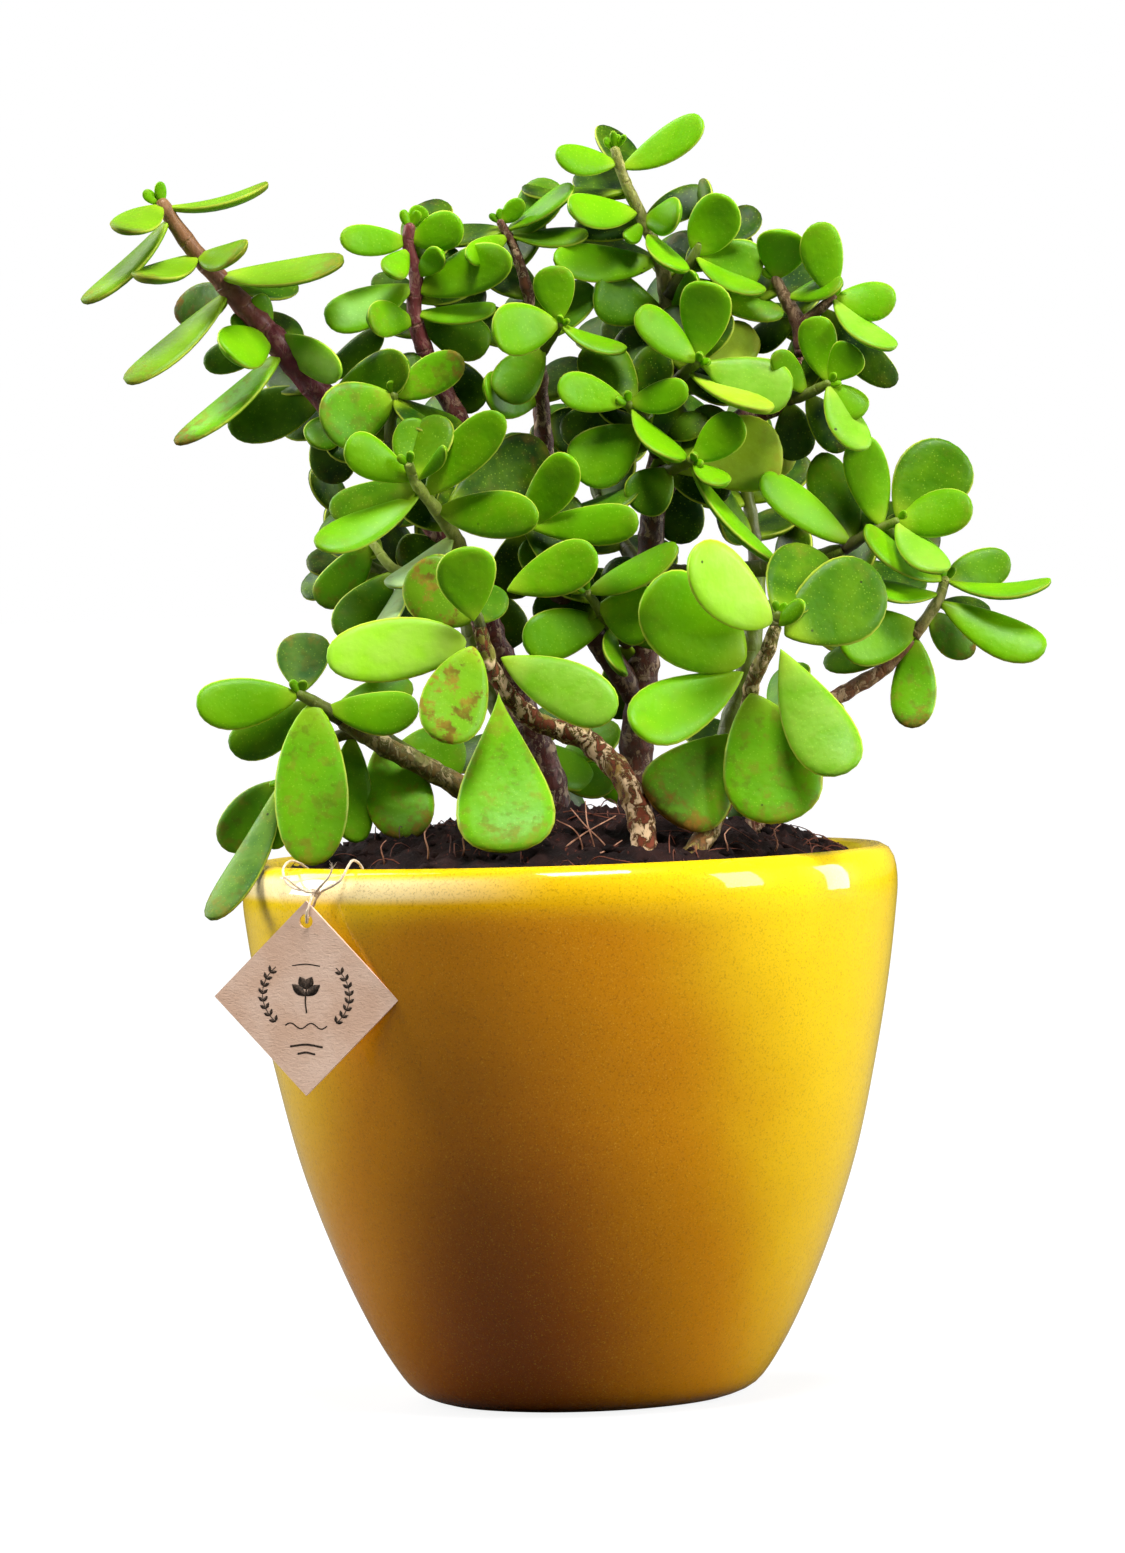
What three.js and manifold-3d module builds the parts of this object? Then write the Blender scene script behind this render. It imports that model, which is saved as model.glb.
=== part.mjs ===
// A small-leaved jade plant in a glazed pot, with a paper tag on a loop of twine.
// Millimetres, +Z up, origin at the middle of the pot's flat base, -Y is the front.
import * as THREE from "three";
import { mergeVertices } from "three/addons/utils/BufferGeometryUtils.js";
import Module from "manifold-3d";

const wasm = await Module();
wasm.setup();

// Driving dimensions
const gap = 0.3; // clear space kept between pieces that meet
const pot = { height: 100, rim: 60, foot: 27, wall: 5.4, floor: 7, sides: 36 };
const soilRise = 9; // how far the soil is heaped above its edge
const soilSides = 24;
const tag = {
  side: 24.5, thick: 0.7, hole: 1.3, holeDrop: 3.6, turn: 18, tilt: 2, middle: [-47.4, -43.3, 77.4],
};
const twine = { thick: 0.5, quarterSides: 4, steps: 30 };
const leaf = { sides: 4, rings: 3, narrow: 0.8, sag: 0.06, thickShare: 0.16, thickLeast: 0.9, root: 0.2 };
const woodSides = 6;
const shootSides = 4;

const finishes = {
  glaze: { color: 0xd89c12, roughness: 0.18 },
  soil: { color: 0x2a1a12, roughness: 0.95 },
  bark: { color: 0x5a3a28, roughness: 0.8 },
  leaf: { color: 0x6fb81a, roughness: 0.35 },
  paper: { color: 0xc8a98c, roughness: 0.9 },
  twine: { color: 0xb9a58c, roughness: 0.95 },
};

// Woody stems: centre-line points, then the radius at the root end and at the far end.
const stems = {
  trunk: {
    radii: [3.6, 1.9],
    path: [[12, 6, 84], [12, 6, 100], [13, 5, 118], [15, 4, 135], [16.5, 3, 150], [17.5, 2, 162],
      [19.5, 2, 174], [21, 2, 185]],
  },
  front_left_stem: {
    radii: [2.9, 1.3],
    path: [[13, -40, 84], [13, -40, 95], [13.4, -39.5, 101.5], [12.9, -37.5, 107],
      [10.5, -35, 113.8], [7, -32.5, 118.2], [3.5, -30.5, 121.4], [-1, -29.8, 123.1],
      [-6, -30.8, 125.7], [-10, -33, 129.9], [-12.8, -35, 135.2], [-14.5, -36, 141.5]],
  },
  front_right_stem: {
    radii: [2.4, 1.2],
    path: [[19.5, -38, 84], [20, -38, 95], [22, -36.5, 100], [25, -34, 104.5],
      [28, -31.5, 109.8], [30.5, -30, 115.2], [32.3, -30, 121.7], [33.3, -31.3, 128],
      [34.3, -33.2, 132], [36.5, -35, 136], [38, -36, 140]],
  },
  right_stem: {
    radii: [2.3, 1.2],
    path: [[33, -4, 84], [33, -5, 100], [38, -6, 113], [46, -8, 124.7], [52, -8, 128.2],
      [58, -8, 131.6], [63, -8, 136.5]],
  },
  left_low_stem: {
    radii: [2.6, 1.7],
    path: [[-6, -8, 84], [-7, -8, 101], [-14, -8, 109], [-25, -10, 116.5], [-33, -12, 121],
      [-39.5, -13.6, 125.5]],
  },
  left_stem: {
    radii: [3.2, 2.4],
    path: [[-1, 12, 84], [-1, 12, 100], [-4, 10, 116], [-10, 8, 132], [-16, 5, 148], [-22, 4, 160],
      [-29, 3, 171], [-35.5, 2, 178.5]],
  },
  middle_stem: {
    radii: [2.3, 1.7],
    path: [[14, 4, 127], [7, 0, 138], [0, -2, 147], [-8, 0, 160], [-15, 1, 175], [-20, 1, 185],
      [-22.6, 1, 190]],
  },
  right_high_stem: {
    radii: [2.2, 1.8],
    path: [[18, 2, 165], [25, 1, 172], [34, -1, 178], [42, -3, 181.5], [46, -3, 188.3]],
  },
  right_middle_stem: {
    radii: [1.9, 1.3],
    path: [[16.5, 3, 152], [23, 2, 150], [32, -1, 150.5], [42, -4, 151.5], [51, -6, 153.5]],
  },
  back_left_stem: {
    radii: [2.8, 1.7],
    path: [[-4, 28, 84], [-4, 28, 101], [-9, 31, 118], [-15, 34, 134], [-19, 36, 149]],
  },
  back_right_stem: {
    radii: [2.8, 1.7],
    path: [[26, 24, 84], [26, 24, 101], [30, 28, 118], [35, 31, 134], [37, 33, 149]],
  },
};

// Leafy shoots: a stem path and radii as above, then each leaf as
// [place along the path, tip x, tip y, tip z, width, lift], and for some a side twig of the same kind.
const shoots = {
  crown_shoot: {
    far: 5,
    radii: [1.8, 0.9],
    path: [[21.2, 2, 186], [21.5, 2, 198], [20.3, 1, 207.5], [17.5, 0, 215], [15, -1, 220.5],
      [13.6, -1.5, 224.5], [12.7, -1.5, 228]],
    leaves: [
      [5, 28.8, -5, 232.7, 8, 35], [5.3, 1.8, -6, 227.3, 6.5, 30], [4, -4.5, 5, 222, 8, 70],
      [3.3, 4, -12, 217, 8, 35], [3, 24, -9, 216.2, 7, 20], [3, 29, 7, 220.8, 7, 25],
      [3, 14.3, -4, 211.3, 3.5, 0], [2, 0.8, -6, 208.3, 8.5, 30], [2, 5, 10, 213, 7, 40],
      [2.7, 24, -10, 205.2, 7, 55], [1, 26.5, -8, 204.6, 5.5, 30], [1, 8, -4, 202.5, 10, 10],
      [1, 9, 11, 195, 9, 20],
    ],
  },
  crown_right_shoot: {
    far: 3,
    radii: [1.4, 0.9],
    path: [[21.5, 1, 201], [24, 0, 204.5], [26.5, -2, 208.3], [28, -2, 211]],
    leaves: [
      [2, 33, -6, 218.6, 9.5, 10], [2.6, 38.4, 6, 216.6, 7, 20], [2, 38.9, -3, 205.3, 10, 12],
      [2, 38.5, -11, 200.8, 7, 60], [1, 42.2, -5, 196.6, 7, 40], [3, 28.4, 5, 222.4, 5, 60],
    ],
  },
  left_high_shoot: {
    radii: [2.2, 1.3],
    path: [[-52, -1, 197.2], [-57, -2, 203], [-60.5, -3, 207.3], [-64, -4, 211.3], [-68.3, -5, 217.6],
      [-70, -5.5, 220.6]],
    leaves: [
      [5, -77.6, -14, 215.8, 9, 45], [4.8, -50.8, -2, 224, 9, 80], [4.2, -85, -9, 203.2, 9, 65],
      [3, -74.7, -13, 207.3, 9.5, 60], [3, -55.3, -15, 211.5, 8, 50], [2, -37.3, -9, 209.2, 10, 62],
      [1.6, -46.6, 8, 205.8, 8, 50], [1.3, -69, 6, 201.2, 8, 20], [1.4, -77.3, -12, 188.3, 8, 50],
    ],
  },
  left_high_base: {
    far: 3,
    radii: [2.7, 2.4],
    path: [[-36, 2, 179], [-42, 1, 184.8], [-47, 0, 191], [-51.4, -1, 196.4]],
    leaves: [
      [3, -58.8, -13, 192.8, 10, 15], [2.8, -64, 6, 191.8, 6.5, 20], [2.5, -69, -9, 177, 9, 60],
      [1, -60, 7, 180, 10, 5], [2.9, -38.5, -9, 188.6, 7.5, -25], [0.5, -44.4, -3, 176, 7, 10],
      [0.9, -26.2, -10, 190.4, 9, 12], [1.4, -31, 2, 196.6, 6, 25], [0.6, -41.6, 7, 169, 9, 10],
    ],
  },
  left_middle_shoot: {
    far: 4,
    radii: [1.4, 0.9],
    path: [[-29.5, 1, 172], [-30, -4, 178.5], [-29, -7, 184.5]],
    leaves: [
      [2, -41.9, -12, 178.6, 12, 0], [2, -16.2, -10, 190.7, 7.5, 12], [1.9, -20.3, -14, 177, 7, 65],
      [2, -16.8, -3, 178.6, 7, 65], [2, -34, 5, 193.5, 8, 30],
    ],
  },
  left_whorl_shoot: {
    far: 4,
    radii: [1.7, 0.9],
    path: [[-17, 4, 150], [-18.5, -5, 157.5], [-22, -12, 163.5], [-25.5, -18, 168.5], [-26.5, -20, 171.5]],
    leaves: [
      [2.5, -9.2, -20, 180, 8.5, 12], [3, -19.8, -27, 174.4, 3.2, 30], [2.6, -43.6, -24, 157.5, 8.5, 35],
      [2.8, -41.4, -11, 164.2, 8.5, 20], [3, -37.5, -24, 176, 7.8, 10], [3, -25.6, -13, 180.2, 7.5, 5],
      [2, -3.5, -22, 161.2, 9, 12], [2, -16.6, -5, 165.2, 7, 10], [1.2, -31.2, -15, 150, 7, 50],
      [1.8, -1.8, 0, 174.6, 11.5, 0], [0, -7.5, 7, 138.5, 9, 10],
    ],
    twig: {
      radii: [1.3, 0.8],
      path: [[-17.8, -1, 153.5], [-24, -2, 151.5], [-30, -3, 152.8], [-34, -2, 157.8]],
      leaves: [
        [2, -40.4, -8, 140.8, 9, 10], [1.7, -34.6, -18, 140.4, 7, 60], [3, -44.3, 2, 147, 7.8, 5],
        [2.6, -42, 9, 160, 8, 30], [1, -30, 8, 139, 9, 20],
      ],
    },
  },
  purple_shoot: {
    far: 4,
    radii: [1.6, 1.1],
    path: [[-23, 1, 191.5], [-25, 0, 199.5], [-24.4, -1, 206], [-25.5, -1.5, 211.5], [-25.3, -2, 215]],
    leaves: [
      [3.3, -37.9, -6, 213.4, 6, 10], [3.3, -15.5, -6, 215, 7.5, 5], [4, -22.6, -2, 218.8, 4, 0],
      [3, -29, -8, 206.2, 5.5, 0], [3, -16.3, 3, 209.6, 5, 20], [2, -19.4, -7, 210.2, 4.8, 10],
      [1.8, -41, -4, 198.3, 9, 30], [1.6, -32.4, 5, 206.4, 6, 30], [1.6, -12, 9, 203.5, 9, 25],
      [1, -10, -4, 199.8, 6, 50], [1, -11.5, 3, 193.2, 9, 15], [0.8, -33.2, -9, 198.4, 7, 10],
      [1.6, -6.8, -12, 208.4, 9, 12], [0.1, -13, 6, 182.5, 8.5, 15],
    ],
  },
  upper_middle_shoot: {
    far: 6,
    radii: [1.9, 0.8],
    path: [[-1.5, 5, 164], [-2.2, 6, 178], [-2.6, 5, 190], [-3.6, 3, 200], [-5, 1, 206.5],
      [-6.6, 0, 211.5], [-8.6, -0.5, 215.5]],
    leaves: [
      [6, -4.4, -2, 219.4, 3.8, 10], [5.6, 4.9, -3, 221.6, 7, 60], [5.4, 7.3, -2, 212.8, 7, 55],
      [5.6, -20.7, 6, 213.8, 8, 60], [5.4, -14.9, -10, 208.8, 5, 0], [3, -8.6, 14, 197, 9, 20],
      [1.4, -12.6, -4, 185.5, 9, 20], [1, 8, 12, 176.5, 10, 20],
    ],
  },
  upper_middle_twig: {
    far: 2,
    radii: [1.1, 0.7],
    path: [[-2.5, 1.5, 191], [-0.5, -3, 193.5], [1.6, -7, 196.4]],
    leaves: [
      [2, 0.3, -9, 207, 7.8, 0], [2, -10.6, -15, 194.8, 10, 0], [2, 13.4, -10, 191.2, 6, 60],
      [0.6, -9.6, -5, 183.3, 9, 5],
    ],
  },
  center_twig: {
    far: 3,
    radii: [1.2, 0.8],
    path: [[-7.5, -2, 159], [-6.8, -8, 160], [-6.2, -13, 160]],
    leaves: [
      [2, 14.5, -20, 159.9, 7.8, 15], [1.9, 2.8, -19, 172.2, 8.3, 10], [1.2, 14.9, -8, 165.8, 7.5, 60],
      [0.7, -9.5, 6, 147, 9, 10],
    ],
  },
  center_low_twig: {
    far: 5,
    radii: [1.3, 0.8],
    path: [[12, 1, 138], [8.5, -6, 142], [5, -10, 147.5]],
    leaves: [
      [2, 21.6, -14, 155.3, 8, 45], [1.6, 17.5, -11, 142.6, 11.5, 5], [1, -7, -11, 138.5, 9.5, 10],
      [2, -6.5, -6, 157, 8, 20], [0.8, 10.8, -13, 132.6, 6, 60],
      [0.1, 27, -14, 141.5, 7, 20], [0, 9.5, 10, 124, 9, 10],
    ],
  },
  center_shoot: {
    far: 4,
    radii: [1.4, 0.9],
    path: [[18.6, -0.5, 172.5], [16.5, -5, 177.5], [13.6, -9, 181.5]],
    leaves: [
      [2, 0.8, -13, 185.3, 7.3, 12], [2, 24.4, -13, 183.7, 6.3, 15], [1.9, 22.6, -16, 170.8, 8, 55],
      [1, 3, -9, 169.4, 11.5, 5], [1, 1, 3, 178, 9, 10], [1, 28, -9, 177.6, 7, 35],
      [1.8, 7, -3, 193, 10, 10], [1.8, 15, 6, 196, 9, 10], [0, 24, 4, 156, 10, 10],
    ],
  },
  center_right_shoot: {
    far: 4,
    radii: [1.5, 0.9],
    path: [[17.9, -0.5, 168], [21, -6, 169.5], [24.6, -13, 170.7]],
    leaves: [
      [2, 30.5, -18, 166.2, 6, 50], [2, 33.9, -16, 177.9, 8, 15], [1.6, 41.2, -9, 172.4, 14.5, 5],
      [0.8, 44, 5, 172, 10, 10], [1.9, 39.2, -19, 151.8, 8, 72], [1, 13.6, -9, 162.8, 9, 5],
    ],
  },
  right_middle_shoot: {
    far: 4,
    radii: [1.5, 0.9],
    path: [[21, -0.5, 183], [23.6, -5, 186.5], [26.4, -10, 188.6]],
    leaves: [
      [2, 28.3, -14, 203.1, 9.8, 8], [1.8, 37.1, -3, 194, 9, 10], [2, 15.5, -15, 198, 7.6, 25],
      [2, 42.9, -12, 181.8, 10.5, 15], [1.3, 38.6, -20, 179.3, 9, 65],
    ],
  },
  right_high_shoot: {
    far: 4,
    radii: [1.7, 1.0],
    path: [[45.9, -3, 189.5], [44.8, -3, 196], [42.8, -3, 200], [41.3, -3, 203.3]],
    leaves: [
      [3, 42.8, -7, 212.2, 9.5, 5], [1, 36.3, 3, 191.8, 6, 20], [2, 53.2, -8, 202.3, 6, 45],
      [3, 33, 6, 201.5, 7, 30], [0.4, 52, 6, 191, 8, 20],
    ],
    twig: {
      radii: [1.2, 0.8],
      path: [[45, -3, 194.5], [48.6, -5.5, 197.4], [51.4, -6, 199.6]],
      leaves: [
        [2, 49, -9, 213.3, 8, 5], [2, 62.7, -9, 198.8, 8, 20], [2, 61.6, -14, 189.8, 8, 55],
        [1.2, 62.4, -4, 183.5, 7, 15],
      ],
    },
  },
  right_high_low: {
    far: 2,
    radii: [1.3, 0.8],
    path: [[42.6, -5, 181.5], [46, -7, 182.3], [49.8, -9, 184]],
    leaves: [
      [2, 47.4, -10, 196.2, 7.2, 5], [2, 55, -11, 190.5, 7, 10], [2, 56.2, -11, 178.2, 6.5, 10],
      [1, 40.2, -12, 189.8, 5.2, 15], [2, 55.7, -14, 171.6, 8, 35], [1, 53, -2, 172, 7, 20],
      [0, 44.5, 0, 170.5, 8, 10],
    ],
  },
  right_outer_shoot: {
    far: 3,
    radii: [1.2, 0.8],
    path: [[51.8, -6.2, 153.8], [57, -7.5, 156.8], [61.5, -9, 158.6]],
    leaves: [
      [1.4, 55, -12, 174.2, 8.5, 15], [2, 75.2, -13, 160.8, 9.5, 25], [2, 73.5, -5, 171.6, 14, 0],
      [2, 69.4, -17, 149.2, 8.5, 40], [0.3, 48.6, 0, 171.6, 9, 5], [0.3, 37, -12, 167.4, 8, 30],
    ],
  },
  right_tip_shoot: {
    radii: [1.2, 0.9],
    path: [[64, -8, 137.6], [67, -8, 141.5], [69, -8, 144.5], [70, -8, 147.6]],
    leaves: [
      [3, 82.2, -3, 151.2, 8, 15], [3, 89, -13, 146.8, 8, 72], [1.6, 78.6, 3, 142, 5.5, 40],
      [1.8, 87.2, -15, 134, 9, 25], [1, 75.1, -3, 134, 7, 20], [0.5, 50.2, -14, 136.6, 11, 10],
      [2.2, 57, -12, 146.4, 7, 60], [3, 55.5, -13, 157.5, 8.5, 60], [0.1, 63, -12, 121, 8.5, 5],
      [0.6, 48, 5, 133, 7, 30],
    ],
  },
  left_low_shoot: {
    radii: [1.5, 1.0],
    path: [[-40.2, -13.8, 126], [-43.5, -15.4, 128.3], [-47.5, -16.5, 130.8]],
    leaves: [
      [2, -66.2, -21, 129.5, 9.6, 10], [2, -46.3, -11, 141.8, 10, 10], [1, -26.3, -21, 127.3, 8.5, 15],
      [1.5, -60.8, -12, 121.3, 8.5, 15], [1.5, -46, -25, 100.2, 13.6, 8],
      [0.5, -27.5, -9, 132, 7, 20],
    ],
  },
  left_hanging_shoot: {
    radii: [1.2, 0.8],
    path: [[-35.5, -9, 123.5], [-41, -9.5, 123], [-47.5, -11, 119.8], [-51.6, -13, 115.4]],
    leaves: [
      [3, -63, -9, 103.4, 9, 15], [3, -65, -24, 91, 8, 40], [2.7, -53.5, -16, 103, 6, 20],
      [1.8, -40, -4, 109, 9, 20], [0.6, -38.5, -12, 103.5, 8, 10],
    ],
    twig: {
      radii: [1.2, 0.8],
      path: [[-37, -9, 123.5], [-33, -5, 122.5], [-28, -4, 119.5]],
      leaves: [
        [1, -28.5, -14, 104, 12.5, 5], [1.5, -18.5, 1, 117, 11, 10], [1.8, -32, 8, 113, 7, 20],
      ],
    },
  },
  front_left_tip: {
    radii: [1.1, 0.8],
    path: [[-14.4, -36, 142], [-14.9, -37.2, 144.5]],
    leaves: [
      [0.3, -10.8, -33, 149, 6, 0],
    ],
  },
  front_right_tip: {
    radii: [1.1, 0.8],
    path: [[38.1, -36, 140.4], [38.6, -36.5, 142.6]],
    leaves: [
      [0.2, 43.2, -41, 144.6, 3.8, 30], [0.6, 46, -20, 154, 12.5, 0],
    ],
  },
};

// How the leaves on a shoot's far side stand, as many as its "far" says.
const farLeaves = { length: 15, width: 9.5, spread: 60, turn: 137.5 };

// Large single leaves at the front: base point, tip point, width, lift.
const frontLeaves = {
  leaf_left_top: [[-15.6, -38.4, 143.2], [-16.8, -42, 156.5], 11, 5],
  leaf_left_spotted: [[-16.4, -35, 142.8], [-25.6, -31, 153.8], 12.5, 5],
  leaf_left_side: [[-17, -36.5, 139.6], [-42, -37, 137.4], 11.5, 10],
  leaf_left_lower: [[-15.8, -39.5, 138.8], [-21.9, -46, 122.2], 12, 0],
  leaf_left_inner: [[-11, -35.5, 136.6], [9, -44, 126], 10.8, 12],
  leaf_left_hanging: [[-11.6, -36, 130.4], [-11, -47, 102.3], 17.6, 0],
  leaf_left_far: [[-9.6, -26, 148.4], [6.8, -29, 154.6], 9.5, 12],
  leaf_right_broad: [[32.4, -36, 134.2], [15.2, -43, 147.8], 16.5, 15],
  leaf_right_top: [[37.4, -38.5, 141.2], [23.4, -50, 154.2], 13, 28],
  leaf_right_back: [[39.8, -33.5, 138.8], [57.4, -25, 149], 15.5, 5],
  leaf_right_long: [[38.8, -38.5, 136.6], [49.6, -47, 114.4], 12.3, 5],
  leaf_right_side: [[32.2, -36.5, 132.6], [12, -47, 123.4], 12.3, 20],
  leaf_right_hanging: [[33.4, -34.5, 128.8], [38.8, -41, 105.8], 17.8, 0],
  leaf_right_red: [[29.2, -30.5, 121.6], [17.4, -38, 107.2], 16.8, 0],
};

// Shoots at the back, which carry opposite pairs of leaves, each pair across the last.
const backPairs = { radii: [1.5, 0.9], length: 16, width: 10.5, spread: 62, droop: 0.12 };
const backShoots = {
  back_left_top_shoot: { pairs: 4, turn: 20, path: [[-19.3, 36.5, 150], [-23, 38, 163], [-25, 37, 177]] },
  back_left_side_shoot: { pairs: 3, turn: 60, path: [[-18.5, 37.5, 146], [-29, 41, 150], [-38, 43, 155]] },
  back_left_low_shoot: {
    pairs: 5, turn: 10, path: [[-10, 33, 120], [-9, 40, 118], [-4, 46, 116], [3, 49, 114]],
  },
  back_right_top_shoot: { pairs: 4, turn: 35, path: [[37.2, 33.5, 150], [36, 35, 163], [33, 35, 177]] },
  back_right_side_shoot: { pairs: 3, turn: 70, path: [[36.5, 33.5, 142], [47, 38, 147], [56, 41, 152]] },
  back_right_low_shoot: {
    pairs: 4, turn: 0, path: [[32, 30.5, 121], [38, 36, 123], [40, 42, 122], [34, 47, 118]],
  },
  back_middle_shoot: { pairs: 4, turn: 15, path: [[17, 5, 148], [11, 17, 158], [7, 27, 168], [6, 31, 179]] },
  back_crown_shoot: { pairs: 3, turn: 50, path: [[21, 4.5, 190], [19, 14, 196], [15, 22, 202]] },
  left_back_shoot: { pairs: 3, turn: 40, path: [[-17.5, 7.5, 150], [-29, 17, 156], [-38, 22, 163]] },
};

// The twine's loop: out of the soil, over the lip, down to the tag's hole and back the same way.
const twinePath = [
  [-46.2, -25.4, 98.9], [-48.3, -27.2, 100.7], [-50, -29.6, 101.3], [-51.2, -32.4, 100], [-50.6, -34.8, 97.8],
  [-48.8, -37.6, 96.6], [-46.8, -40.3, 96.5], [-45.7, -43, 96.1], [-46.2, -44.9, 94.3],
  [-46.8, -45.3, 92.5], [-46.9, -44.6, 91.4], [-46.9, -43.5, 90.9], [-46.7, -42.3, 91.6],
  [-45.9, -41.7, 93.3], [-45, -42.1, 95.2], [-43.9, -43.2, 96.4], [-42.2, -44.7, 97.2], [-40.6, -45.4, 98.3],
  [-39.4, -44.4, 100.3], [-38.5, -42.2, 101.5], [-37.4, -39.6, 100.9], [-36.4, -37.8, 98.9],
];

const group = new THREE.Group();
const taken = []; // the pieces made so far, each with a slightly swollen copy that later pieces are cut by

function toSolid(geometry) {
  const bare = geometry.clone();
  bare.deleteAttribute("normal");
  bare.deleteAttribute("uv");
  const merged = mergeVertices(bare, 1e-4);
  return new wasm.Manifold(new wasm.Mesh({
    numProp: 3,
    vertProperties: new Float32Array(merged.attributes.position.array),
    triVerts: new Uint32Array(merged.index.array),
  }));
}

function toGeometry(solid) {
  const mesh = solid.getMesh();
  const geometry = new THREE.BufferGeometry();
  geometry.setAttribute("position", new THREE.BufferAttribute(new Float32Array(mesh.vertProperties), 3));
  geometry.setIndex(new THREE.BufferAttribute(new Uint32Array(mesh.triVerts), 1));
  return geometry;
}

function joined(solids) {
  return solids.reduce((sum, solid) => sum.add(solid));
}

// Cuts a solid back from each piece already placed that it runs into, and keeps the largest body left.
function clearOfTaken(solid) {
  const met = taken.filter((other) => solid.intersect(other.solid).volume() > 1e-3);
  const cut = met.reduce((rest, other) => rest.subtract(other.swollen), solid);
  const bodies = cut.decompose();
  return bodies.reduce((best, body) => (body.volume() > best.volume() ? body : best));
}

function place(name, solid, swollen, finish) {
  const kept = clearOfTaken(solid);
  const mesh = new THREE.Mesh(toGeometry(kept), new THREE.MeshStandardMaterial(finishes[finish]));
  mesh.name = name;
  group.add(mesh);
  taken.push({ solid, swollen });
}

const vector = (point) => new THREE.Vector3(...point);
const curveOf = (path) => new THREE.CatmullRomCurve3(path.map(vector), false, "centripetal");
const alongPath = (path, index) => curveOf(path).getPoint(index / (path.length - 1));

// A tapered stem: a cylinder bent along the path.
function stemSolid(path, radii, sides, grow) {
  const curve = curveOf(path);
  const steps = path.length + 1;
  const frames = curve.computeFrenetFrames(steps);
  const geometry = new THREE.CylinderGeometry(radii[1] + grow, radii[0] + grow, 1, sides, steps);
  const place = geometry.attributes.position;
  for (let i = 0; i < place.count; i += 1) {
    const share = place.getY(i) + 0.5;
    const step = Math.round(share * steps);
    const reach = step === 0 ? -grow : step === steps ? radii[1] + grow : 0;
    const point = curve.getPointAt(share)
      .addScaledVector(frames.tangents[step], reach)
      .addScaledVector(frames.binormals[step], place.getX(i))
      .addScaledVector(frames.normals[step], place.getZ(i));
    place.setXYZ(i, point.x, point.y, point.z);
  }
  return toSolid(geometry);
}

// A leaf: a ball drawn out from base to tip, a wedge at its base, widest two thirds along and
// round at its end, and flat. Lift is how far its face tips up from facing the front, in degrees.
function leafSolid(base, tip, width, lift, grow) {
  const span = tip.clone().sub(base);
  const length = span.length() + 2 * grow;
  const along = span.normalize();
  const front = new THREE.Vector3(0, -1, 0).addScaledVector(along, along.y).normalize();
  const rise = along.clone().cross(front);
  if (rise.z < 0) rise.negate();
  const angle = THREE.MathUtils.degToRad(lift);
  const face = front.multiplyScalar(Math.cos(angle)).addScaledVector(rise, Math.sin(angle));
  const side = face.clone().cross(along);
  const thick = leaf.thickLeast + leaf.thickShare * width;
  const widest = leaf.narrow / (leaf.narrow + 0.5);
  const peak = widest ** leaf.narrow * Math.sqrt(1 - widest);
  const geometry = new THREE.SphereGeometry(1, leaf.sides, leaf.rings);
  const place = geometry.attributes.position;
  for (let i = 0; i < place.count; i += 1) {
    const t = Math.sqrt((1 - place.getY(i)) / 2);
    const round = Math.max(Math.hypot(place.getX(i), place.getZ(i)), 1e-6);
    const outline = (t ** leaf.narrow * Math.sqrt(Math.max(1 - t, 0))) / peak;
    const poles = t < 0.01 || t > 0.99 ? 0 : 1;
    const half = poles * ((width / 2) * outline + 3 * grow);
    const depth = poles * ((thick / 2) * Math.sqrt(outline) + 2 * grow);
    const point = base.clone()
      .addScaledVector(along, t * length - grow)
      .addScaledVector(side, (place.getX(i) / round) * half)
      .addScaledVector(face, (place.getZ(i) / round) * depth - leaf.sag * length * 4 * t * (1 - t));
    place.setXYZ(i, point.x, point.y, point.z);
  }
  return toSolid(geometry);
}

// Leaf rows for the far side of a shoot: even steps, each turned by the golden angle, all facing back.
function rowsOnFarSide({ path, far = 0 }) {
  const rows = [];
  for (let k = 0; k < far; k += 1) {
    const share = (k + 0.5) / (far + 0.5);
    const spot = curveOf(path).getPoint(share);
    const along = curveOf(path).getTangent(share);
    const across = new THREE.Vector3(0, 0, 1).cross(along).normalize();
    const over = along.clone().cross(across);
    const around = THREE.MathUtils.degToRad(farLeaves.turn * (k + far));
    const out = across.multiplyScalar(Math.cos(around)).addScaledVector(over, Math.sin(around));
    if (out.y < 0) out.negate();
    out.y += 0.5;
    const spread = THREE.MathUtils.degToRad(farLeaves.spread);
    const tip = spot.addScaledVector(along, farLeaves.length * Math.cos(spread))
      .addScaledVector(out.normalize(), farLeaves.length * Math.sin(spread));
    rows.push([share * (path.length - 1), tip.x, tip.y, tip.z, farLeaves.width, 35]);
  }
  return rows;
}

// A leafy shoot: its stem, its leaves, and its side twig where it has one.
function shootSolid(shoot, grow) {
  const leaves = [...shoot.leaves, ...rowsOnFarSide(shoot)].map(([index, x, y, z, width, lift]) => {
    const tip = new THREE.Vector3(x, y, z);
    const base = alongPath(shoot.path, index);
    base.addScaledVector(tip.clone().sub(base).normalize(), leaf.root);
    return leafSolid(base, tip, width, lift, grow);
  });
  const twigs = shoot.twig ? [shootSolid(shoot.twig, grow)] : [];
  return joined([stemSolid(shoot.path, shoot.radii, shootSides, grow), ...leaves, ...twigs]);
}

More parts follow.
